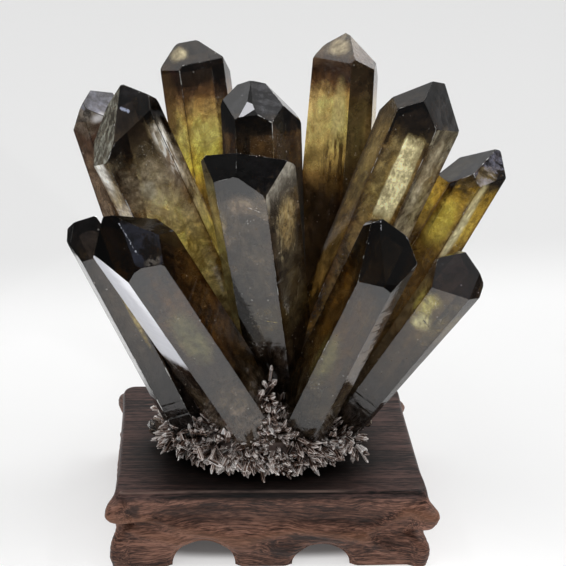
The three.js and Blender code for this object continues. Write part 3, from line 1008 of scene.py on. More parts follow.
FINISHES = {
    "front_left": {
        "shades": [(0, BLACK), (20, (0.008, 0.005, 0.004)), (34, (0.09, 0.045, 0.012)),
                   (50, (0.07, 0.034, 0.01)), (75, (0.02, 0.012, 0.008)), (95, (0.05, 0.036, 0.022)),
                   (110, (0.1, 0.075, 0.055))],
        "clouds": [(0, 0.2), (40, 0.5), (120, 0.6)],
        "patches": [
            spot((3, -13, 55), (7, 5, 18), (0.12, 0.11, 0.045), 0.5),
            # Painted reflection: a pale strip on side 5, where the face mirrors the bright table.
            area((0.72, 0.73, 0.78), 0.95, sides=(5,), span=(4, 8, 66, 72), clean=1),
            area((0.016, 0.018, 0.028), 0.6, tops=(1,), drawn=(0.14, 0.14, 0.14)),
            spot((7, -12, 14), (4, 3, 2.4), (0.12, 0.11, 0.1), 0.7, drawn=(0.5, 0.5, 0.5)),
        ],
        "lines": [
            # Painted glint: a broken bright line along the head's ridge.
            crack_and_glint((1.2, -3.5, -2.4), (3.1, -11, 9.1), 0.3, (0.5, 0.53, 0.6), broken=1),
            crack_and_glint((-8, -8, 9), (-1, -11, 15), 0.3, (0.3, 0.3, 0.3), broken=1),
        ],
    },
    "low_left": {
        "shades": [(0, (0.012, 0.01, 0.011)), (20, (0.024, 0.018, 0.015)), (40, (0.036, 0.026, 0.018)),
                   (80, (0.018, 0.014, 0.012)), (110, (0.016, 0.013, 0.012))],
        "clouds": [(0, 0.5), (60, 0.6), (120, 0.7)],
        "patches": [
            spot((4.5, -6.5, 46), (1.4, 3, 22), (0.26, 0.2, 0.07), 0.75),
        ],
    },
    "front_right": {
        "shades": [(0, BLACK), (25, (0.006, 0.005, 0.004)), (37, (0.06, 0.034, 0.01)),
                   (60, (0.07, 0.036, 0.008)), (90, (0.045, 0.032, 0.016)), (120, DARK)],
        "clouds": [(0, 0.1), (40, 0.4), (120, 0.6)],
        "patches": [
            spot((-6, -8, 72), (6, 5, 16), (0.14, 0.12, 0.04), 0.5),
        ],
        "threads": [
            thread((-6, -8, 87), (8, 6, 4), 0.25),
        ],
        "lines": [
            # Painted glints on the head: a broken bright line on a ridge, and a small spark.
            crack_and_glint((-7.2, 3.6, 3), (-5.6, 0.9, 7), 0.24, (0.4, 0.4, 0.44), broken=1),
            crack_and_glint((-8.6, -0.8, 13), (-8.4, -0.9, 13.4), 0.28, (0.5, 0.5, 0.52)),
            crack_and_glint((-7, -8.1, 89), (0, -10.6, 84.5), 0.25, (0.015, 0.012, 0.01)),
        ],
    },
    "low_right": {
        "shades": [(0, (0.012, 0.008, 0.008)), (15, (0.03, 0.02, 0.014)), (28, (0.12, 0.09, 0.035)),
                   (42, (0.04, 0.024, 0.01)), (80, (0.02, 0.014, 0.01)), (110, DARK)],
        "clouds": [(0, 0.3), (25, 0.6), (120, 0.6)],
        "patches": [
            spot((-6, -6, 27), (7, 7, 8), (0.34, 0.3, 0.08), 0.8),
            spot((-4, -7, 34), (5, 5, 5), (0.4, 0.37, 0.18), 0.7),
            spot((-1, -9, 26), (3, 4, 5), (0.03, 0.02, 0.01), 0.3),
            area((0.006, 0.003, 0.005), 0.4, tops=(1,)),
        ],
        "threads": [
            thread((-3, -8, 27), (8, 8, 9), 0.35),
        ],
        "lines": [
            crack_and_glint((-3, -6, 10), (8.2, -7.3, 9.4), 0.2, (0.35, 0.3, 0.34), broken=0.7),
            crack_and_glint((-7, -4.5, 31), (0, -9, 34), 0.4, (0.02, 0.014, 0.01)),
        ],
    },
    "front_centre": {
        "shades": [(0, BLACK), (9, BLACK), (18, (0.075, 0.055, 0.034)), (34, (0.09, 0.066, 0.04)),
                   (50, (0.06, 0.044, 0.026)), (64, (0.036, 0.026, 0.016)), (75, (0.07, 0.05, 0.02)),
                   (92, (0.016, 0.01, 0.006)), (125, DARK)],
        "clouds": [(0, 0.1), (20, 0.6), (120, 0.7)],
        "patches": [
            spot((-5, -15, 15), (6, 6, 6), (0.2, 0.15, 0.1), 0.6),
            spot((11, -7, 32), (6, 6, 15), (0.44, 0.32, 0.14), 0.6),
            spot((10, -8, 34), (7, 8, 90), (0.42, 0.35, 0.2), 0.7, span=(14, 24, 34, 56),
                 drawn=(0.6, 0.6, 0.16), strength=0.6),
            spot((-14, -8, 24), (5, 6, 13), (0.4, 0.3, 0.12), 0.6),
            area((0.26, 0.24, 0.2), 0.8, sides=(1,), span=(0, 1, 11, 24)),
            spot((9, -8, 66), (7, 7, 22), (0.075, 0.055, 0.028), 0.65, sides=(1,)),
            spot((-12, -12, 76), (6, 6, 26), (0.012, 0.009, 0.006), 0.4),
        ],
        "lines": [
            # Painted glint: a dotted bright line near the head.
            crack_and_glint((-3, -15.1, 16), (8, -16, 22), 0.25, (0.5, 0.46, 0.4), broken=0.9),
            crack_and_glint((2, -14.6, 78), (-7, -13.6, 76), 0.25, (0.4, 0.32, 0.1), broken=0.6),
        ],
        "threads": [
            thread((-3, -15, 22), (9, 6, 5), 0.4),
            thread((-5, -14, 76), (8, 6, 7), 0.3),
            thread((-8, -13, 93), (7, 6, 6), 0.2),
        ],
    },
    "left": {
        "shades": [(0, (0.02, 0.018, 0.02)), (14, (0.006, 0.004, 0.004)), (24, (0.014, 0.01, 0.007)),
                   (32, (0.12, 0.095, 0.06)), (41, (0.36, 0.3, 0.21)), (54, (0.47, 0.38, 0.22)),
                   (72, (0.58, 0.45, 0.11)), (92, (0.62, 0.5, 0.18)), (112, (0.4, 0.32, 0.16))],
        "clouds": [(0, 0.5), (18, 0.3), (35, 0.7), (120, 0.7)],
        "patches": [
            area((0.1, 0.09, 0.07), 0.7, tops=(1,)),
            area((0.2, 0.2, 0.17), 0.85, tops=(1,), drawn=(0.4, 0.4, 0.1)),
            # Painted reflection: a pale glossy strip on side 5.
            spot((-14, -6, 24), (5, 6, 22), (0.7, 0.68, 0.64), 0.9, sides=(5,)),
            spot((14, -9, 31), (3.6, 8, 60), (0.7, 0.62, 0.48), 0.85, span=(14, 24, 36, 54),
                 strength=0.8),
            spot((14, -9, 31), (3, 8, 60), (0.95, 0.93, 0.88), 0.9, span=(16, 26, 34, 50),
                 drawn=(0.5, 0.5, 0.12), clean=1),
            spot((1, -11, 44), (4, 4, 5), (0.42, 0.38, 0.3), 0.7),
        ],
        "threads": [
            thread((8, -9, 34), (8, 6, 14), 0.25),
        ],
        "lines": [
            # Painted glints: blue-white bars on a sloping face, and a broken bright line down the apex edge.
            crack_and_glint((3.8, -3.8, 9.8), (6.4, -5.6, 11.4), 0.75, (0.4, 0.44, 0.58)),
            crack_and_glint((3.8, -4.2, 11.8), (6.2, -6, 13.2), 0.4, (0.3, 0.33, 0.44), broken=0.6),
            crack_and_glint((-1, -3, 0), (-1, -7, 20), 0.35, (0.5, 0.52, 0.56), broken=1),
        ],
    },
    "right": {
        "shades": [(0, BLACK), (16, (0.006, 0.005, 0.005)), (24, (0.04, 0.028, 0.014)),
                   (34, (0.26, 0.2, 0.09)), (50, (0.26, 0.2, 0.07)), (64, (0.2, 0.13, 0.045)),
                   (86, (0.14, 0.085, 0.028)), (110, (0.16, 0.085, 0.016))],
        "clouds": [(0, 0.1), (20, 0.5), (50, 0.7), (120, 0.7)],
        "patches": [
            spot((-3, -13, 14), (16, 12, 9), BLACK, 0.1),
            spot((-1.8, -14, 40), (4.6, 8, 160), (0.95, 0.88, 0.52), 0.92, span=(20, 27, 52, 62),
                 rim=CRISP_RIM),
            spot((-1.8, -14, 40), (4.6, 8, 160), (0.34, 0.27, 0.1), 0.8, span=(20, 30, 52, 60),
                 drawn=(0.9, 0.9, 0.5), strength=0.4),
            spot((9, -12, 34), (4, 4, 22), (0.42, 0.36, 0.24), 0.8),
            spot((4.5, -14, 36), (1.2, 3, 24), (0.03, 0.02, 0.01), 0.3),
            area((0.1, 0.07, 0.03), 0.4, sides=(5,), strength=0.7),
            area((0.34, 0.31, 0.23), 0.75, sides=(1,), strength=0.55),
        ],
    },
    "back_centre": {
        "shades": [(0, BLACK), (14, (0.008, 0.006, 0.006)), (22, (0.05, 0.03, 0.016)),
                   (32, (0.06, 0.036, 0.016)), (45, (0.03, 0.02, 0.01)), (60, (0.012, 0.009, 0.005))],
        "clouds": [(0, 0.1), (20, 0.5), (120, 0.5)],
        "patches": [
            area(SLATE, 0.5, tops=(0,)),
            area((0.006, 0.006, 0.008), 0.6, tops=(1,)),
            area((0.05, 0.05, 0.056), 0.6, tops=(1,), drawn=(0.1, 0.5, 0.5)),
            # Painted reflection: a white triangle on the third sloping face.
            area((0.7, 0.7, 0.74), 0.95, tops=(2,), clean=1),
            spot((0, -14, 13), (20, 12, 6), BLACK, 0.1, sides=(0, 1, 5)),
        ],
        "threads": [
            thread((3, -14, 24), (12, 6, 7), 0.3),
        ],
    },
    "outer_left": {
        "shades": [(0, (0.1, 0.09, 0.09)), (9, (0.3, 0.26, 0.22)), (15, (0.05, 0.028, 0.02)),
                   (30, (0.1, 0.066, 0.045)), (50, (0.14, 0.1, 0.07)), (80, (0.06, 0.045, 0.03))],
        "clouds": [(0, 0.6), (15, 0.6), (120, 0.7)],
        "patches": [
            # Painted reflection on the first two sloping faces, bluish grey as they mirror a lamp, and a
            # painted white glint below them.
            area((0.13, 0.13, 0.16), 0.75, tops=(0, 1)),
            spot((1, -7.5, 11), (4, 4, 2.6), (0.85, 0.83, 0.84), 0.9, clean=1),
        ],
    },
    "outer_right": {
        "shades": [(0, BLACK), (13, (0.012, 0.009, 0.008)), (21, (0.3, 0.2, 0.035)),
                   (34, (0.4, 0.28, 0.05)), (46, (0.16, 0.095, 0.02)), (60, (0.12, 0.07, 0.024)),
                   (85, (0.05, 0.03, 0.012))],
        "clouds": [(0, 0.1), (15, 0.35), (40, 0.7), (120, 0.7)],
        "patches": [
            spot((-5, -11, 33), (5, 6, 12), (0.75, 0.62, 0.13), 0.3),
            spot((4, -12, 30), (5, 4, 26), (0.5, 0.46, 0.28), 0.8),
            area(SLATE, 0.85, tops=(0,)),
            # Painted reflection: pale blue-white streaks on the second sloping face.
            area((0.2, 0.2, 0.26), 0.8, tops=(1,), drawn=(0.08, 0.3, 0.3), strength=0.7),
        ],
        "mottle": 0.4,
    },
    "back_left": {
        "shades": [(0, (0.04, 0.03, 0.02)), (9, (0.012, 0.009, 0.007)), (15, (0.02, 0.012, 0.01)),
                   (21, (0.12, 0.065, 0.032)), (29, (0.34, 0.24, 0.1)), (40, (0.55, 0.46, 0.14)),
                   (52, (0.5, 0.4, 0.07)), (66, (0.16, 0.1, 0.03))],
        "clouds": [(0, 0.5), (20, 0.5), (120, 0.6)],
        "patches": [
            spot((-6, -6, 4), (5, 5, 4), (0.4, 0.34, 0.2), 0.85),
            spot((-9, -9, 13), (4, 5, 3), (0.14, 0.05, 0.06), 0.5),
            area((0.012, 0.008, 0.006), 0.3, span=(9, 12, 15, 19), strength=0.9),
            spot((-12, -6, 26), (6, 6, 22), (0.07, 0.04, 0.016), 0.5),
        ],
        "mottle": 0.35,
    },
    "back_right": {
        "shades": [(0, (0.22, 0.18, 0.12)), (8, (0.08, 0.05, 0.03)), (14, (0.02, 0.01, 0.006)),
                   (22, (0.1, 0.05, 0.022)), (30, (0.46, 0.33, 0.13)), (50, (0.44, 0.33, 0.12)),
                   (60, (0.12, 0.07, 0.022)), (72, (0.02, 0.012, 0.007))],
        "clouds": [(0, 0.7), (12, 0.5), (30, 0.5), (120, 0.7)],
        "patches": [
            spot((-6, -1, 6), (7, 6, 4), (0.4, 0.33, 0.2), 0.85),
            spot((-5, -8, 34), (4, 5, 16), (0.6, 0.5, 0.22), 0.6),
            spot((-5, -8, 55), (14, 8, 16), (0.05, 0.03, 0.012), 0.6, drawn=(0.5, 0.5, 0.06)),
            area((0.03, 0.02, 0.01), 0.85, sides=(1,), strength=0.95),
            spot((9, -6, 40), (5, 8, 12), (0.12, 0.08, 0.03), 0.8, sides=(1,)),
        ],
        "mottle": 0.35,
    },
}
worn_edges = worn_edge_finish()

# %% Build the large crystals
PRISM_EDGE = {"width": 0.2, "segments": 2, "sharpest": 45}
FIRST_CHANCE = 100

for index, (name, crystal) in enumerate(CRYSTALS.items()):
    prism = prism_mesh(f"prism_{name}", crystal, np.random.default_rng(FIRST_CHANCE + index))
    prism.data.materials.append(quartz_finish(f"quartz_{name}", **FINISHES[name]))
    prism.data.materials.append(worn_edges)
    bevelled(prism, **PRISM_EDGE)
    dress(prism, crystal["slot"], crystal["node"])

# %% [markdown]
# ## The druse
#
# The prisms grow out of a crust of small crystals. These sprout in bundles, like fingers held
# nearly together, and bundles at the rim lean out over the board and droop. They are all the same
# shape, a short six-sided prism with a point, so one is turned, stretched and set thousands of times
# with arrays, and the result is one mesh.

# %% Small crystals
DRUSE_FLOOR = 38.3
DRUSE_MIDDLE = np.array([-2.5, -1, DRUSE_FLOOR])
DRUSE_RADII = np.array([45, 33, 30])
ROCK_SHARE = 0.93
UNDERCUT = 0.26
UNDERCUT_SHARPNESS = 6
GOLDEN_ANGLE = np.radians(137.508)
LOWEST_TIP = 41
FOOT_WIDTH = 0.85
TIP_SHARE = 0.3
OFF_CENTRE_TIP = (0.2, 0.1, 1)


def unit(vectors):
    return vectors / np.linalg.norm(vectors, axis=-1, keepdims=True)


def on_rock(height, around):
    """Places on the crust's rock and the ways outwards there. The rock is half a ball drawn out to
    three radii, and just above the board it is drawn in a little."""
    flat = np.sqrt(1 - height ** 2)
    ball = np.stack([flat * np.cos(around), flat * np.sin(around), height], -1)
    drawn_in = 1 - UNDERCUT * np.exp(-(height * UNDERCUT_SHARPNESS) ** 2)
    drawn_in = np.stack([drawn_in, drawn_in, np.ones_like(height)], -1)
    return ball * drawn_in * DRUSE_RADII * ROCK_SHARE + DRUSE_MIDDLE, unit(ball / DRUSE_RADII)


def turned_from_z(directions):
    """For each direction, the matrix whose third column it is and whose first column is level."""
    level = unit(np.cross([0.03, 0.05, 1], directions))
    return np.stack([level, np.cross(directions, level), directions], axis=-1)


def small_crystals(name, places, directions, lengths, radii, tones, tip_share=TIP_SHARE):
    """Many small crystals as one mesh: a foot ring, a shoulder ring and a tip, each crystal turned so
    that its axis lies along its direction and scaled to its length and radius."""
    count = len(places)
    angle = np.radians(60) * np.arange(6)
    ring = np.stack([np.cos(angle), np.sin(angle), np.zeros(6)], 1)
    foot = ring * [FOOT_WIDTH, FOOT_WIDTH, 1]
    pattern = np.vstack([foot, ring + [0, 0, 1 - tip_share], [OFF_CENTRE_TIP]])
    size = np.stack([radii, radii, lengths], 1)[:, None, :]
    turned = np.einsum("nij,npj->npi", turned_from_z(directions), pattern[None] * size)
    points = (turned + places[:, None, :]).reshape(-1, 3)
    faces = [[i, (i + 1) % 6, 6 + (i + 1) % 6, 6 + i] for i in range(6)]
    faces += [[6 + i, 6 + (i + 1) % 6, 12] for i in range(6)]
    faces.append([5, 4, 3, 2, 1, 0])
    starts = len(pattern) * np.arange(count)
    whole = [[corner + start for corner in face] for start in starts.tolist() for face in faces]
    tone = np.repeat(tones, len(pattern))
    along = np.tile(pattern[:, 2], count)
    glint = np.random.default_rng(count).uniform(0, 1, len(whole))
    return mesh_object(name, points, whole, tone=tone, along=along, glint=glint)


def bundled(chance, places, directions, members, gap, fan):
    """Turns each place and direction into a bundle: its members stand up to a gap aside and lean
    outwards by the fan, so that they spread like fingers."""
    count = len(places)
    aside = chance.normal(0, 1, (count, members, 3))
    aside -= (aside * directions[:, None]).sum(-1, keepdims=True) * directions[:, None]
    aside *= 0.5
    spots = places[:, None] + aside * gap
    ways = unit(directions[:, None] + aside * fan + chance.normal(0, 0.05, aside.shape))
    return spots.reshape(-1, 3), ways.reshape(-1, 3)


def clear_of_board(places, directions, lengths):
    """Lifts the directions whose tips would dip into the board."""
    steepest = (LOWEST_TIP - places[:, 2]) / lengths
    lifted = directions.copy()
    lifted[:, 2] = np.maximum(lifted[:, 2], steepest)
    return unit(lifted)


# %% Finish of the small crystals
PAINTED_GLINT_WHITE = (0.95, 0.93, 0.92, 1)
PAINTED_GLINT_BAND = (0.88, 0.94)
DRUSE_STOPS = [
    (0.12, (0.018, 0.009, 0.006)), (0.33, (0.13, 0.072, 0.052)), (0.52, (0.46, 0.31, 0.25)),
    (0.7, (0.84, 0.69, 0.62)), (0.88, (0.98, 0.94, 0.92)),
]
# The bevelled edges of the druse are painted pale, as highlights.
EDGE_STOPS = [(0.2, (0.2, 0.13, 0.1)), (0.6, (0.98, 0.92, 0.88))]
CLEAR_STOPS = [(0.1, (0.5, 0.42, 0.33)), (0.9, (0.85, 0.8, 0.7))]
DRUSE_EDGE = {"width": 0.17, "segments": 1}
STOUT_EDGE = {"width": 0.35, "segments": 2}


def small_quartz_finish(name, stops, transmission):
    """Small crystals: each has its own tone between dark and pale, and turns paler towards its tip. A
    few faces are painted nearly white as glints, and every face a little paler or darker at random, as
    painted reflections."""
    finish, maker = new_finish(name)
    tone, along, glint = [maker.attribute(label) for label in ("tone", "along", "glint")]
    place = maker.place()
    patches = maker.noise(place, 420, 4, 0.65)
    # Painted glints on a few faces, and painted reflections that make each face paler or darker.
    painted_glints = glint.between(*PAINTED_GLINT_BAND) * patches.between(0.4, 0.55)
    shade = tone * 0.75 + along * 0.26 + (patches - 0.5) * 0.9 + (glint - 0.5) * 0.5 - 0.05
    colour = maker.mix(painted_glints * 0.85, maker.ramp(shade, stops), PAINTED_GLINT_WHITE)
    relief = maker.bump(maker.noise(place, 1100, 3), 0.5, 0.12 * MM)
    inputs = {"Base Color": colour, "Roughness": 0.05 + patches * 0.08, "IOR": QUARTZ_IOR}
    maker.surface(maker.principled({**inputs, "Transmission Weight": transmission, "Normal": relief}))
    return finish


druse_finishes = [
    small_quartz_finish("druse_quartz", DRUSE_STOPS, 0.55),
    small_quartz_finish("druse_edges", EDGE_STOPS, 0.1),
]
clear_finish = small_quartz_finish("clear_small_quartz", CLEAR_STOPS, 1)


def dress_druse(piece, finishes, edge):
    """Small crystals have narrow bevelled edges in the last finish given; on the druse it is pale, a
    painted highlight.
    """
    for finish in finishes:
        piece.data.materials.append(finish)
    bevelled(piece, **edge)
    dress(piece, "pale_quartz", "druse_base")


# %% The rock and its bundles
ROCK_STOPS = [(0.35, (0.012, 0.008, 0.007)), (0.62, (0.2, 0.14, 0.12))]
ROCK_ROWS, ROCK_COLUMNS = 48, 120
LUMPS, BUNDLES, MEMBERS = 105, 6, 3
# How far apart the bundles of a lump and the members of a bundle stand, in millimetres, and their fan.
BUNDLE_GAP, BUNDLE_FAN = 2.6, 0.95
MEMBER_GAP, MEMBER_FAN = 1.7, 0.25
DROOP_BELOW = 0.45


def rock_finish():
    finish, maker = new_finish("druse_rock")
    colour = maker.ramp(maker.noise(maker.place(), 220, 5), ROCK_STOPS)
    maker.surface(maker.principled({"Base Color": colour, "Roughness": 0.3}))
    return finish


def make_rock():
    """The rock as a grid of heights and headings, closed with one face below and one above, and pushed
    in and out by a product of two waves that fades out at the foot."""
    rise = np.sin(np.linspace(0, 0.999, ROCK_ROWS) * np.pi / 2)
    headings = np.linspace(0, 2 * np.pi, ROCK_COLUMNS, endpoint=False)
    height, around = np.meshgrid(rise, headings, indexing="ij")
    places, outwards = on_rock(height, around)
    right, back, up = np.moveaxis(places, -1, 0)
    wave = np.sin(0.31 * right + 0.2 * up) * np.cos(0.37 * back - 0.23 * up) * np.minimum(1, height * 8)
    points = (places + outwards * wave[..., None]).reshape(-1, 3)
    rock = mesh_object("druse_rock", points, capped_grid(ROCK_ROWS, ROCK_COLUMNS), smooth=True)
    rock.data.materials.append(rock_finish())
    dress(rock, "pale_quartz", "druse_base")


def lumps_on_rock(chance):
    """Places and ways of the lumps: golden-angle headings, closest together near the rim, where they
    droop. A lump stands out from the rock or lies back between its neighbours."""
    index = np.arange(LUMPS)
    height = 0.13 + 0.77 * (index / LUMPS) ** 1.4
    around = GOLDEN_ANGLE * index + chance.normal(0, 0.06, LUMPS)
    places, outwards = on_rock(height, around)
    droop = np.where(height < DROOP_BELOW, 0.5 - height, 0)
    ways = unit(outwards + chance.normal(0, 0.3, (LUMPS, 3)) - droop[:, None] * [0, 0, 1])
    return places + outwards * chance.uniform(-4.5, 1.6, (LUMPS, 1)), ways


def make_bundles():
    """Lumps all over the rock. Each is a bundle of bundles with a tone of its own."""
    chance = np.random.default_rng(7)
    places, ways = lumps_on_rock(chance)
    spots, ways = bundled(chance, places, ways, BUNDLES, BUNDLE_GAP, BUNDLE_FAN)
    spots, ways = bundled(chance, spots, ways, MEMBERS, MEMBER_GAP, MEMBER_FAN)
    stoutness = np.repeat(np.exp(chance.normal(0, 0.3, LUMPS * BUNDLES)), MEMBERS)
    lengths = chance.uniform(5.5, 10.5, len(spots)) * stoutness ** 0.3
    radii = chance.uniform(0.55, 1.25, len(spots)) * stoutness
    ways = clear_of_board(spots, ways, lengths)
    lump_tone = np.repeat(chance.uniform(0, 1, LUMPS), BUNDLES * MEMBERS)
    bundle_tone = np.repeat(chance.uniform(0, 1, LUMPS * BUNDLES), MEMBERS)
    tones = 0.25 * chance.uniform(0, 1, len(spots)) + 0.25 * bundle_tone + 0.5 * lump_tone
    piece = small_crystals("druse_points", spots, ways, lengths, radii, tones)
    dress_druse(piece, druse_finishes, DRUSE_EDGE)


make_rock()
make_bundles()

# %% [markdown]
# ### Groups that stand out in the druse
#
# A few groups catch the eye: a round brown burr at the front, a cream tuft and a clear stub at the
# left, a white fringe and tuft at the right, and a column of shards between the front crystals.
# Each is a cloud of the same small crystals, thrown from a middle towards a direction.

# %% Groups of small crystals
# Middle, reach and lengths are in millimetres. "toward" is where the group faces, "spread" is how far
# its members turn from that, 0 not at all, and "tone" runs from 0, dark, to 1, white.
GROUPS = {
    "brown_burr": {
        "middle": (8, -29, 44), "reach": (4, 3, 3), "count": 80, "toward": (0.05, -0.75, -0.15),
        "spread": 0.75, "lengths": (4, 8.5), "radii": (0.6, 1.5), "tone": (0, 0.6),
    },
    "cream_tuft": {
        "middle": (-43, 3, 49), "reach": (3.5, 4, 4), "count": 70, "toward": (-0.5, -0.5, 0.5),
        "spread": 0.7, "lengths": (3, 6), "radii": (0.6, 1.4), "tone": (0.65, 1),
    },
    "white_tuft": {
        "middle": (40, 3, 46), "reach": (3, 4, 3), "count": 60, "toward": (0.6, -0.5, 0.4),
        "spread": 0.6, "lengths": (4, 7.5), "radii": (0.6, 1.5), "tone": (0.6, 1),
    },
    "white_fringe": {
        "middle": (25, -22, 46), "reach": (11, 4, 3.5), "count": 110, "toward": (0.35, -0.8, -0.1),
        "spread": 0.4, "lengths": (4, 8), "radii": (0.6, 1.4), "tone": (0.2, 1),
    },
    "front_needles": {
        "middle": (-13, -28, 47), "reach": (11, 4, 4), "count": 110, "toward": (0.1, -0.8, -0.25),
        "spread": 0.45, "lengths": (5, 9), "radii": (0.6, 1.5), "tone": (0.1, 1),
    },
    "left_shards": {
        "middle": (-32, -17, 50), "reach": (7, 5, 5), "count": 90, "toward": (-0.3, -0.6, 0.2),
        "spread": 0.7, "lengths": (4.5, 9), "radii": (0.7, 1.7), "tone": (0.1, 0.75),
    },
    "shard_column": {
        "middle": (-1, -26, 64), "reach": (4, 3, 12), "count": 130, "toward": (0, -0.6, 0.5),
        "spread": 0.9, "lengths": (3.5, 8), "radii": (0.7, 1.7), "tone": (0, 0.8),
    },
    "root_shards": {
        "middle": (12, -22, 54), "reach": (8, 3, 3), "count": 110, "toward": (0, -0.6, 0.5),
        "spread": 0.8, "lengths": (2.5, 5), "radii": (0.5, 1.2), "tone": (0.1, 0.8),
    },
}
SINGLES_TIP_SHARE = 0.2
# Each single crystal: its place, its direction, length, radius and tone.
SINGLES = (
    ((-44, 1, 44.5), (-0.75, -0.62, 0.05), 9.5, 3.9, 0.6),
    ((-35, -21, 53), (0.97, -0.2, 0.12), 12, 1.9, 0.2),
    ((41.5, 2, 44), (0.85, -0.4, 0.25), 7, 2.2, 0.1),
)


def make_groups():
    """All groups as one mesh. A member sits at a random place of the group's cloud, pulled in by its
    reach, and points the group's way turned by a random vector times the spread."""
    chance = np.random.default_rng(21)
    parts = []
    for group in GROUPS.values():
        count = group["count"]
        scatter = chance.normal(0, 0.6, (count, 3))
        places = np.array(group["middle"]) + scatter * group["reach"]
        ways = unit(np.array(group["toward"]) + chance.normal(0, group["spread"], (count, 3)))
        lengths, radii, tones = [chance.uniform(*group[key], count) for key in ("lengths", "radii", "tone")]
        parts.append((places, clear_of_board(places, ways, lengths), lengths, radii, tones))
    piece = small_crystals("druse_groups", *[np.concatenate(column) for column in zip(*parts)])
    dress_druse(piece, druse_finishes, DRUSE_EDGE)


def make_single_crystals():
    """A stout clear stub at the left, a long grey one across the front left and a small one at the right."""
    places, ways, lengths, radii, tones = [np.array(column, float) for column in zip(*SINGLES)]
    piece = small_crystals(
        "druse_clear_crystals", places, unit(ways), lengths, radii, tones, SINGLES_TIP_SHARE
    )
    dress_druse(piece, [clear_finish], STOUT_EDGE)


make_groups()
make_single_crystals()

# %% [markdown]
# ## The stand
#
# The stand is one piece of dark hardwood. Its top is flat, its edge rolls over into a carved apron,
# and each corner is drawn out in a horn with a neck below it. It is made as a loft: one outline,
# carried up through levels that give its size, with the carving pushed in and out of it. The space
# under the board and the arches are then cut away, as on the real one.

# %% Levels of the stand
# Each level is its height, half width, half depth, how far the horns stand out, and its fall, which is
# how much lower it runs at the right end than at the left.
STAND_LEVELS = np.array([
    (0, 64.5, 43.5, 4, 0),
    (7, 65, 44, 4.5, 1),
    (12, 64.8, 43.8, 4, 2),
    (17, 63.5, 42.8, 2.5, 4),
    (20.5, 61.5, 42, -0.5, 5),
    (22.5, 61.3, 42, -0.5, 5),
    (25, 62.5, 43, 5.5, 5),
    (28, 64, 43.8, 7.5, 4.8),
    (31.5, 64.6, 44, 6.5, 4),
    (34.5, 64.8, 44, 2.5, 2.4),
    (37, 64.6, 43.8, 1.2, 0.4),
    (38, 64, 43.2, 1, 0),
])
BELOW_BOARD = 34
FULL_REACH = (64.6, 43.9)
FRONT_SPREAD = 3.3
BACK_HORNS = 0.75
HORN_NARROWNESS = 9
CORNER_RADIUS = 7
CORNER_COLUMNS = 22
SIDE_COLUMN_COUNTS = (86, 58, 86, 58)
LEVEL_ROWS = 110
TOP_ROWS = 22
LIP = 1.6
# An arch is its middle, half width and height, and the pocket its width, depth and height.
FRONT_ARCHES = ((-27, 13.5, 13.5), (23.5, 12.5, 10.5))
SIDE_ARCH = (0, 20, 12)
POCKET = (104, 62, 22)
ROLL = {"depth": 1.6, "from": 28.5, "height": 9.5, "power": 2.4}
RIGHT_SIGN = np.array([1, -1, -1, 1])
BACK_SIGN = np.array([1, 1, -1, -1])


def smooth_levels(table, count):
    """The levels as smooth curves: cubic pieces that pass through every row with the slope of its
    neighbours."""
    slopes = np.gradient(table, axis=0)
    where = np.linspace(0, len(table) - 1, count)
    low = np.minimum(where.astype(int), len(table) - 2)
    part = (where - low)[:, None]
    blend = part * part * (3 - 2 * part)
    leave = part * (1 - part) ** 2
    arrive = part * part * (part - 1)
    smooth = table[low] * (1 - blend) + table[low + 1] * blend
    smooth = smooth + slopes[low] * leave + slopes[low + 1] * arrive
    return smooth.T[:, :, None]


def outline_directions():
    """Round the outline, anticlockwise from its right side: which corner each column belongs to, its
    angle on that corner's arc, and how far it has gone along the straight side to the next corner."""
    corner, angle, share = [], [], []
    arc = np.linspace(0, 1, CORNER_COLUMNS)
    for index, count in enumerate(SIDE_COLUMN_COUNTS):
        straight = np.arange(1, count) / count
        corner.append(np.full(len(arc) + len(straight), index))
        angle.append(np.concatenate([arc, np.ones(len(straight))]))
        share.append(np.concatenate([np.zeros(len(arc)), straight]))
    return [np.concatenate(values) for values in (corner, angle, share)]


def corner_place(index, size, reach, turn):
    """A place on a corner's arc, from the outline's half width and half depth."""
    wide, deep = size
    right = RIGHT_SIGN[index] * (wide - CORNER_RADIUS) + reach * np.cos(turn)
    back = BACK_SIGN[index] * (deep - CORNER_RADIUS) + reach * np.sin(turn)
    return right, back


def loft_points():
    """The stand's wall before carving, as a grid of levels and columns, with the outward direction
    and the nearness of a corner at each point, 1 on the corner."""
    height, wide, deep, horn, fall = smooth_levels(STAND_LEVELS, LEVEL_ROWS)
    corner, angle, share = outline_directions()
    horn = horn * np.where(BACK_SIGN[corner] > 0, BACK_HORNS, 1)
    turn = np.radians(90) * (corner + angle)
    nearness = np.exp(-(np.minimum(share, 1 - share) * HORN_NARROWNESS) ** 2)
    filled = (1 - nearness) * (height < BELOW_BOARD) * (share > 0)
    deep = deep + (FULL_REACH[1] - deep) * filled * (corner % 2 == 0)
    wide = wide + (FULL_REACH[0] - wide) * filled * (corner % 2 == 1)
    reach = CORNER_RADIUS + horn * np.sin(np.pi * angle) ** 2
    here = corner_place(corner, (wide, deep), reach, turn)
    there = corner_place((corner + 1) % 4, (wide, deep), CORNER_RADIUS, turn)
    right, back = [first + (second - first) * share for first, second in zip(here, there)]
    outward = np.stack([np.broadcast_to(way, right.shape) for way in (np.cos(turn), np.sin(turn))], -1)
    shifted = height - fall * (right / wide + 1) / 2
    spread = FRONT_SPREAD * np.maximum(0, right / wide) * (0.5 - back / (2 * deep))
    return right + spread, back, shifted, outward, np.broadcast_to(nearness, right.shape)


def bell(distance, width):
    return np.exp(-(distance / width) ** 2)


def lip_round(along, up, arch):
    """1 at an arch's edge, fading out over a lip's width beside it."""
    middle, half_width, height = arch
    distance = (np.hypot((along - middle) / half_width, up / height) - 1) * min(half_width, height)
    return bell(np.maximum(distance, 0), LIP)


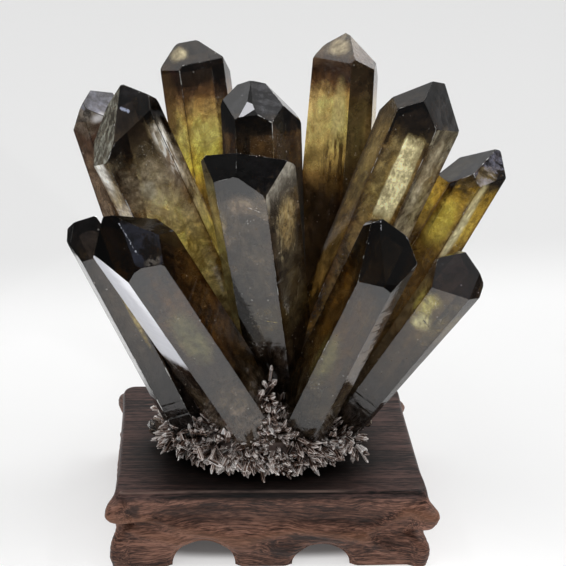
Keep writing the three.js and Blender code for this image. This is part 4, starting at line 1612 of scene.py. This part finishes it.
def carving(right, back, up, nearness):
    """How far the carver's work stands out, in millimetres, and a number from -1 to 1 by which the
    finish paints its folds paler, as wear and highlight, and its hollows darker, as painted shade. A long
    hollow runs under the board's edge. Below it one broad fold runs from horn to horn over the arches,
    thinner folds branch from it, and fine tool marks lie on top."""
    around = right + 1.3 * back
    hollow = bell(up - 26 - 1.5 * np.sin(around / 19), 4.5) * (1 - nearness)
    broad_fold = bell(up - 17 - 9 * nearness - 2.2 * np.sin(around / 8 + 0.6), 3.2)
    branch = np.sin(around / 9 + up / 3.2 + 2 * np.sin(around / 23))
    branch = np.clip(branch, 0, 1) ** 2 * bell(up - 13, 9)
    marks = np.sin(2 * np.pi * (up + 0.2 * around + 0.8 * np.sin(around / 3.1)) / 2.3)
    apron = np.clip((34.5 - up) / 5, 0, 1) * np.clip(up / 4, 0, 1)
    push = 1.7 * broad_fold + 1.2 * branch - 1.8 * hollow + 0.07 * marks
    return apron * push, apron * (broad_fold * 0.8 + branch * 0.5 - hollow)


# %% Cut the stand's openings
ARCH_POINTS, POCKET_POINTS = 72, 64
PAST_THE_SIDES = 90
SQUARENESS = 0.18


def cutter(name, outline, axis, low, high):
    """A straight solid to cut with: an outline in two directions, drawn out along the third axis."""
    others = [index for index in range(3) if index != axis]
    rings = np.zeros((2, len(outline), 3))
    rings[:, :, others] = outline
    rings[0, :, axis] = low
    rings[1, :, axis] = high
    made = mesh_object(name, rings.reshape(-1, 3), capped_grid(2, len(outline)))
    outward = bmesh.new()
    outward.from_mesh(made.data)
    bmesh.ops.recalc_face_normals(outward, faces=outward.faces)
    outward.to_mesh(made.data)
    outward.free()
    return made


def arch_cutter(name, arch, axis):
    """A whole oval, whose lower half lies below the floor."""
    middle, half_width, height = arch
    angle = np.linspace(0, 2 * np.pi, ARCH_POINTS, endpoint=False)
    outline = np.stack([middle + half_width * np.cos(angle), height * np.sin(angle)], 1)
    return cutter(name, outline, axis, -PAST_THE_SIDES, PAST_THE_SIDES)


def pocket_cutter():
    """An oblong with round corners: a circle's sine and cosine, each raised to a small power."""
    angle = np.linspace(0, 2 * np.pi, POCKET_POINTS, endpoint=False)
    circle = np.stack([np.cos(angle), np.sin(angle)], 1)
    width, depth, height = POCKET
    outline = np.sign(circle) * np.abs(circle) ** SQUARENESS * (width / 2, depth / 2)
    return cutter("pocket", outline, 2, -height, height)


def cut_away(piece, cutters):
    """Cuts the solids away and keeps the result as the piece's own mesh."""
    for tool in cutters:
        cut = piece.modifiers.new(tool.name, "BOOLEAN")
        cut.operation = "DIFFERENCE"
        cut.solver = "EXACT"
        cut.object = tool
    bpy.context.view_layer.update()
    finished = bpy.data.meshes.new_from_object(piece.evaluated_get(bpy.context.evaluated_depsgraph_get()))
    piece.modifiers.clear()
    piece.data = finished
    for tool in cutters:
        bpy.data.objects.remove(tool)


# %% Finish of the wood
# Round the druse's foot the board is darkened by a painted shadow.
FOOT_MIDDLE = (-3, -12, 38)
FOOT_REACH = (52, 38)
FOOT_EDGE = (0.6, 1.6)
FOOT_PAINTED_SHADOW = (0.12, 0.12, 0.12, 1)
BOARD_STOPS = [(0.42, (0.004, 0.003, 0.003)), (0.5, (0.048, 0.026, 0.022)), (0.57, (0.115, 0.062, 0.052))]
CARVED_STOPS = [(0.42, (0.02, 0.009, 0.006)), (0.5, (0.118, 0.054, 0.036)), (0.58, (0.29, 0.143, 0.098))]
# The board's paler front edge: wear and a painted highlight.
RUBBED_AND_HIGHLIT = (0.24, 0.16, 0.13, 1)
# Paler folds, from wear and painted highlight, and dark hollows, from painted shade.
PALE_FOLD = (0.24, 0.11, 0.06, 1)
DARK_HOLLOW = (0.02, 0.011, 0.009, 1)
KNOT = (0.018, 0.012, 0.011, 1)
APRON_TOP = (32.5, 36)
WOOD_SHINE = 0.22


def grain_noises(maker, place, apron):
    """Fine lines, pores and broad bands along X, from a place that wanders up and down on the apron."""
    wander = maker.noise(maker.stretched(place, (0.6, 1, 1)), 34, 3)
    drift = maker.times((0, 0.4, 1), (wander - 0.5) * (apron * 0.014 + 0.001))
    waved = maker.vector("ADD", place, drift)
    lines = maker.noise(maker.stretched(waved, (0.03, 1, 1)), 800, 4, 0.65)
    pores = maker.noise(maker.stretched(waved, (0.1, 1, 1)), 2100, 3, 0.6)
    broad = maker.noise(maker.stretched(waved, (0.2, 1, 1)), 90, 4, 0.6)
    knots = maker.noise(maker.stretched(waved, (0.5, 1, 1)), 75, 4, 0.7, 0.6).between(0.55, 0.68) * apron
    return lines, pores, broad, knots


def board_shade(maker, right, back, grain, rubbed_and_highlit):
    """The top: greyish, darkened nearly to black round the druse's foot by a painted shadow, and paler
    along its front edge with wear and a painted highlight.
    """
    board = maker.ramp(grain, BOARD_STOPS)
    # Painted shadow round the druse's foot.
    foot = 1 - oval_distance(right, back, FOOT_MIDDLE, FOOT_REACH).between(*FOOT_EDGE)
    board = maker.tinted(board, FOOT_PAINTED_SHADOW, foot)
    return maker.mix(rubbed_and_highlit * 0.5, board, RUBBED_AND_HIGHLIT)


def wood_finish():
    """Dark wood. Fine lines run along X, and bend on the carving, which is redder than the top, painted
    orange on its folds as wear and highlight, and dark in its hollows as painted shade, with dark knots."""
    finish, maker = new_finish("dark_wood_finish")
    place = maker.place()
    right, back, up = maker.parts(place)
    worn = maker.attribute("worn")
    apron = 1 - up.between(*[edge * MM for edge in APRON_TOP])
    lines, pores, broad, knots = grain_noises(maker, place, apron)
    grain = lines * 0.45 + pores * 0.35 + broad * 0.2
    # A paler line along the board's front edge: wear and a painted highlight.
    rubbed_and_highlit = worn.between(0.35, 0.9) * (1 - apron) * broad.between(0.47, 0.6)
    board = board_shade(maker, right, back, grain, rubbed_and_highlit)
    carved = maker.ramp(lines * 0.32 + pores * 0.42 + broad * 0.26, CARVED_STOPS)
    colour = maker.mix(apron, board, carved)
    # Paler folds: wear and a painted highlight.
    pale = (worn * 0.9 + (broad - 0.5) * 1.4).between(0.15, 0.9)
    colour = maker.mix(pale * 0.45 * apron, colour, PALE_FOLD)
    # Painted shade in the hollows.
    hollow_shade = (1 - (worn + (broad - 0.5) * 0.8).between(-0.7, 0.1)) * apron
    colour = maker.mix(hollow_shade * 0.45, colour, DARK_HOLLOW)
    colour = maker.mix(knots * 0.8, colour, KNOT)
    relief = maker.bump(lines * 0.5 + pores * 0.35 + broad * 0.5, 0.7, 0.5 * MM)
    inputs = {"Base Color": colour, "Roughness": 0.4 + grain * 0.2, "Normal": relief}
    maker.surface(maker.principled({**inputs, "Specular IOR Level": WOOD_SHINE}))
    return finish


# %% Build the stand
def carved_wall():
    """The wall with its carving, the lips round its arches and the rolled edge of the board pushed
    along the outward directions, and at each point the number for its wear and painted light and shade."""
    right, back, up, outward, nearness = loft_points()
    push, worn = carving(right, back, up, nearness)
    front = np.abs(outward[..., 1]) > 0.7
    lips = sum(lip_round(right, up, arch) for arch in FRONT_ARCHES) * front
    lips = lips + lip_round(back, up, SIDE_ARCH) * ~front
    rolled = np.clip((up - ROLL["from"]) / ROLL["height"], 0, 1) ** ROLL["power"]
    push = push - ROLL["depth"] * rolled * (1 - nearness * 0.6) - lips * LIP
    wall = np.stack([right + outward[..., 0] * push, back + outward[..., 1] * push, up], -1)
    # The board's front edge, the arches' lips and the horns are marked paler: wear and painted highlight.
    worn = worn + bell(up - 37.6, 0.5) * front + lips * 0.4 + nearness * bell(up - 28, 3) * 0.3
    return wall, worn


def make_stand():
    """The wall closed with a flat top, whose rings shrink towards its middle, and cut open below."""
    wall, worn = carved_wall()
    rim = wall[-1]
    middle = rim.mean(axis=0)
    shrink = np.linspace(1, 0.02, TOP_ROWS)[1:, None, None]
    top = middle + (rim - middle) * shrink
    top[..., 2] = rim[..., 2].max()
    points = np.concatenate([wall, top])
    worn = np.concatenate([worn, np.zeros(top.shape[:2])])
    faces = capped_grid(*points.shape[:2])
    stand = mesh_object("carved_stand", points.reshape(-1, 3), faces, smooth=True, worn=worn.ravel())
    tools = [pocket_cutter(), arch_cutter("side_arch", SIDE_ARCH, 0)]
    tools += [arch_cutter(f"front_arch_{index}", arch, 1) for index, arch in enumerate(FRONT_ARCHES)]
    cut_away(stand, tools)
    stand.data.set_sharp_from_angle(angle=np.radians(50))
    stand.data.materials.append(wood_finish())
    dress(stand, "dark_wood", "wood_stand")


make_stand()
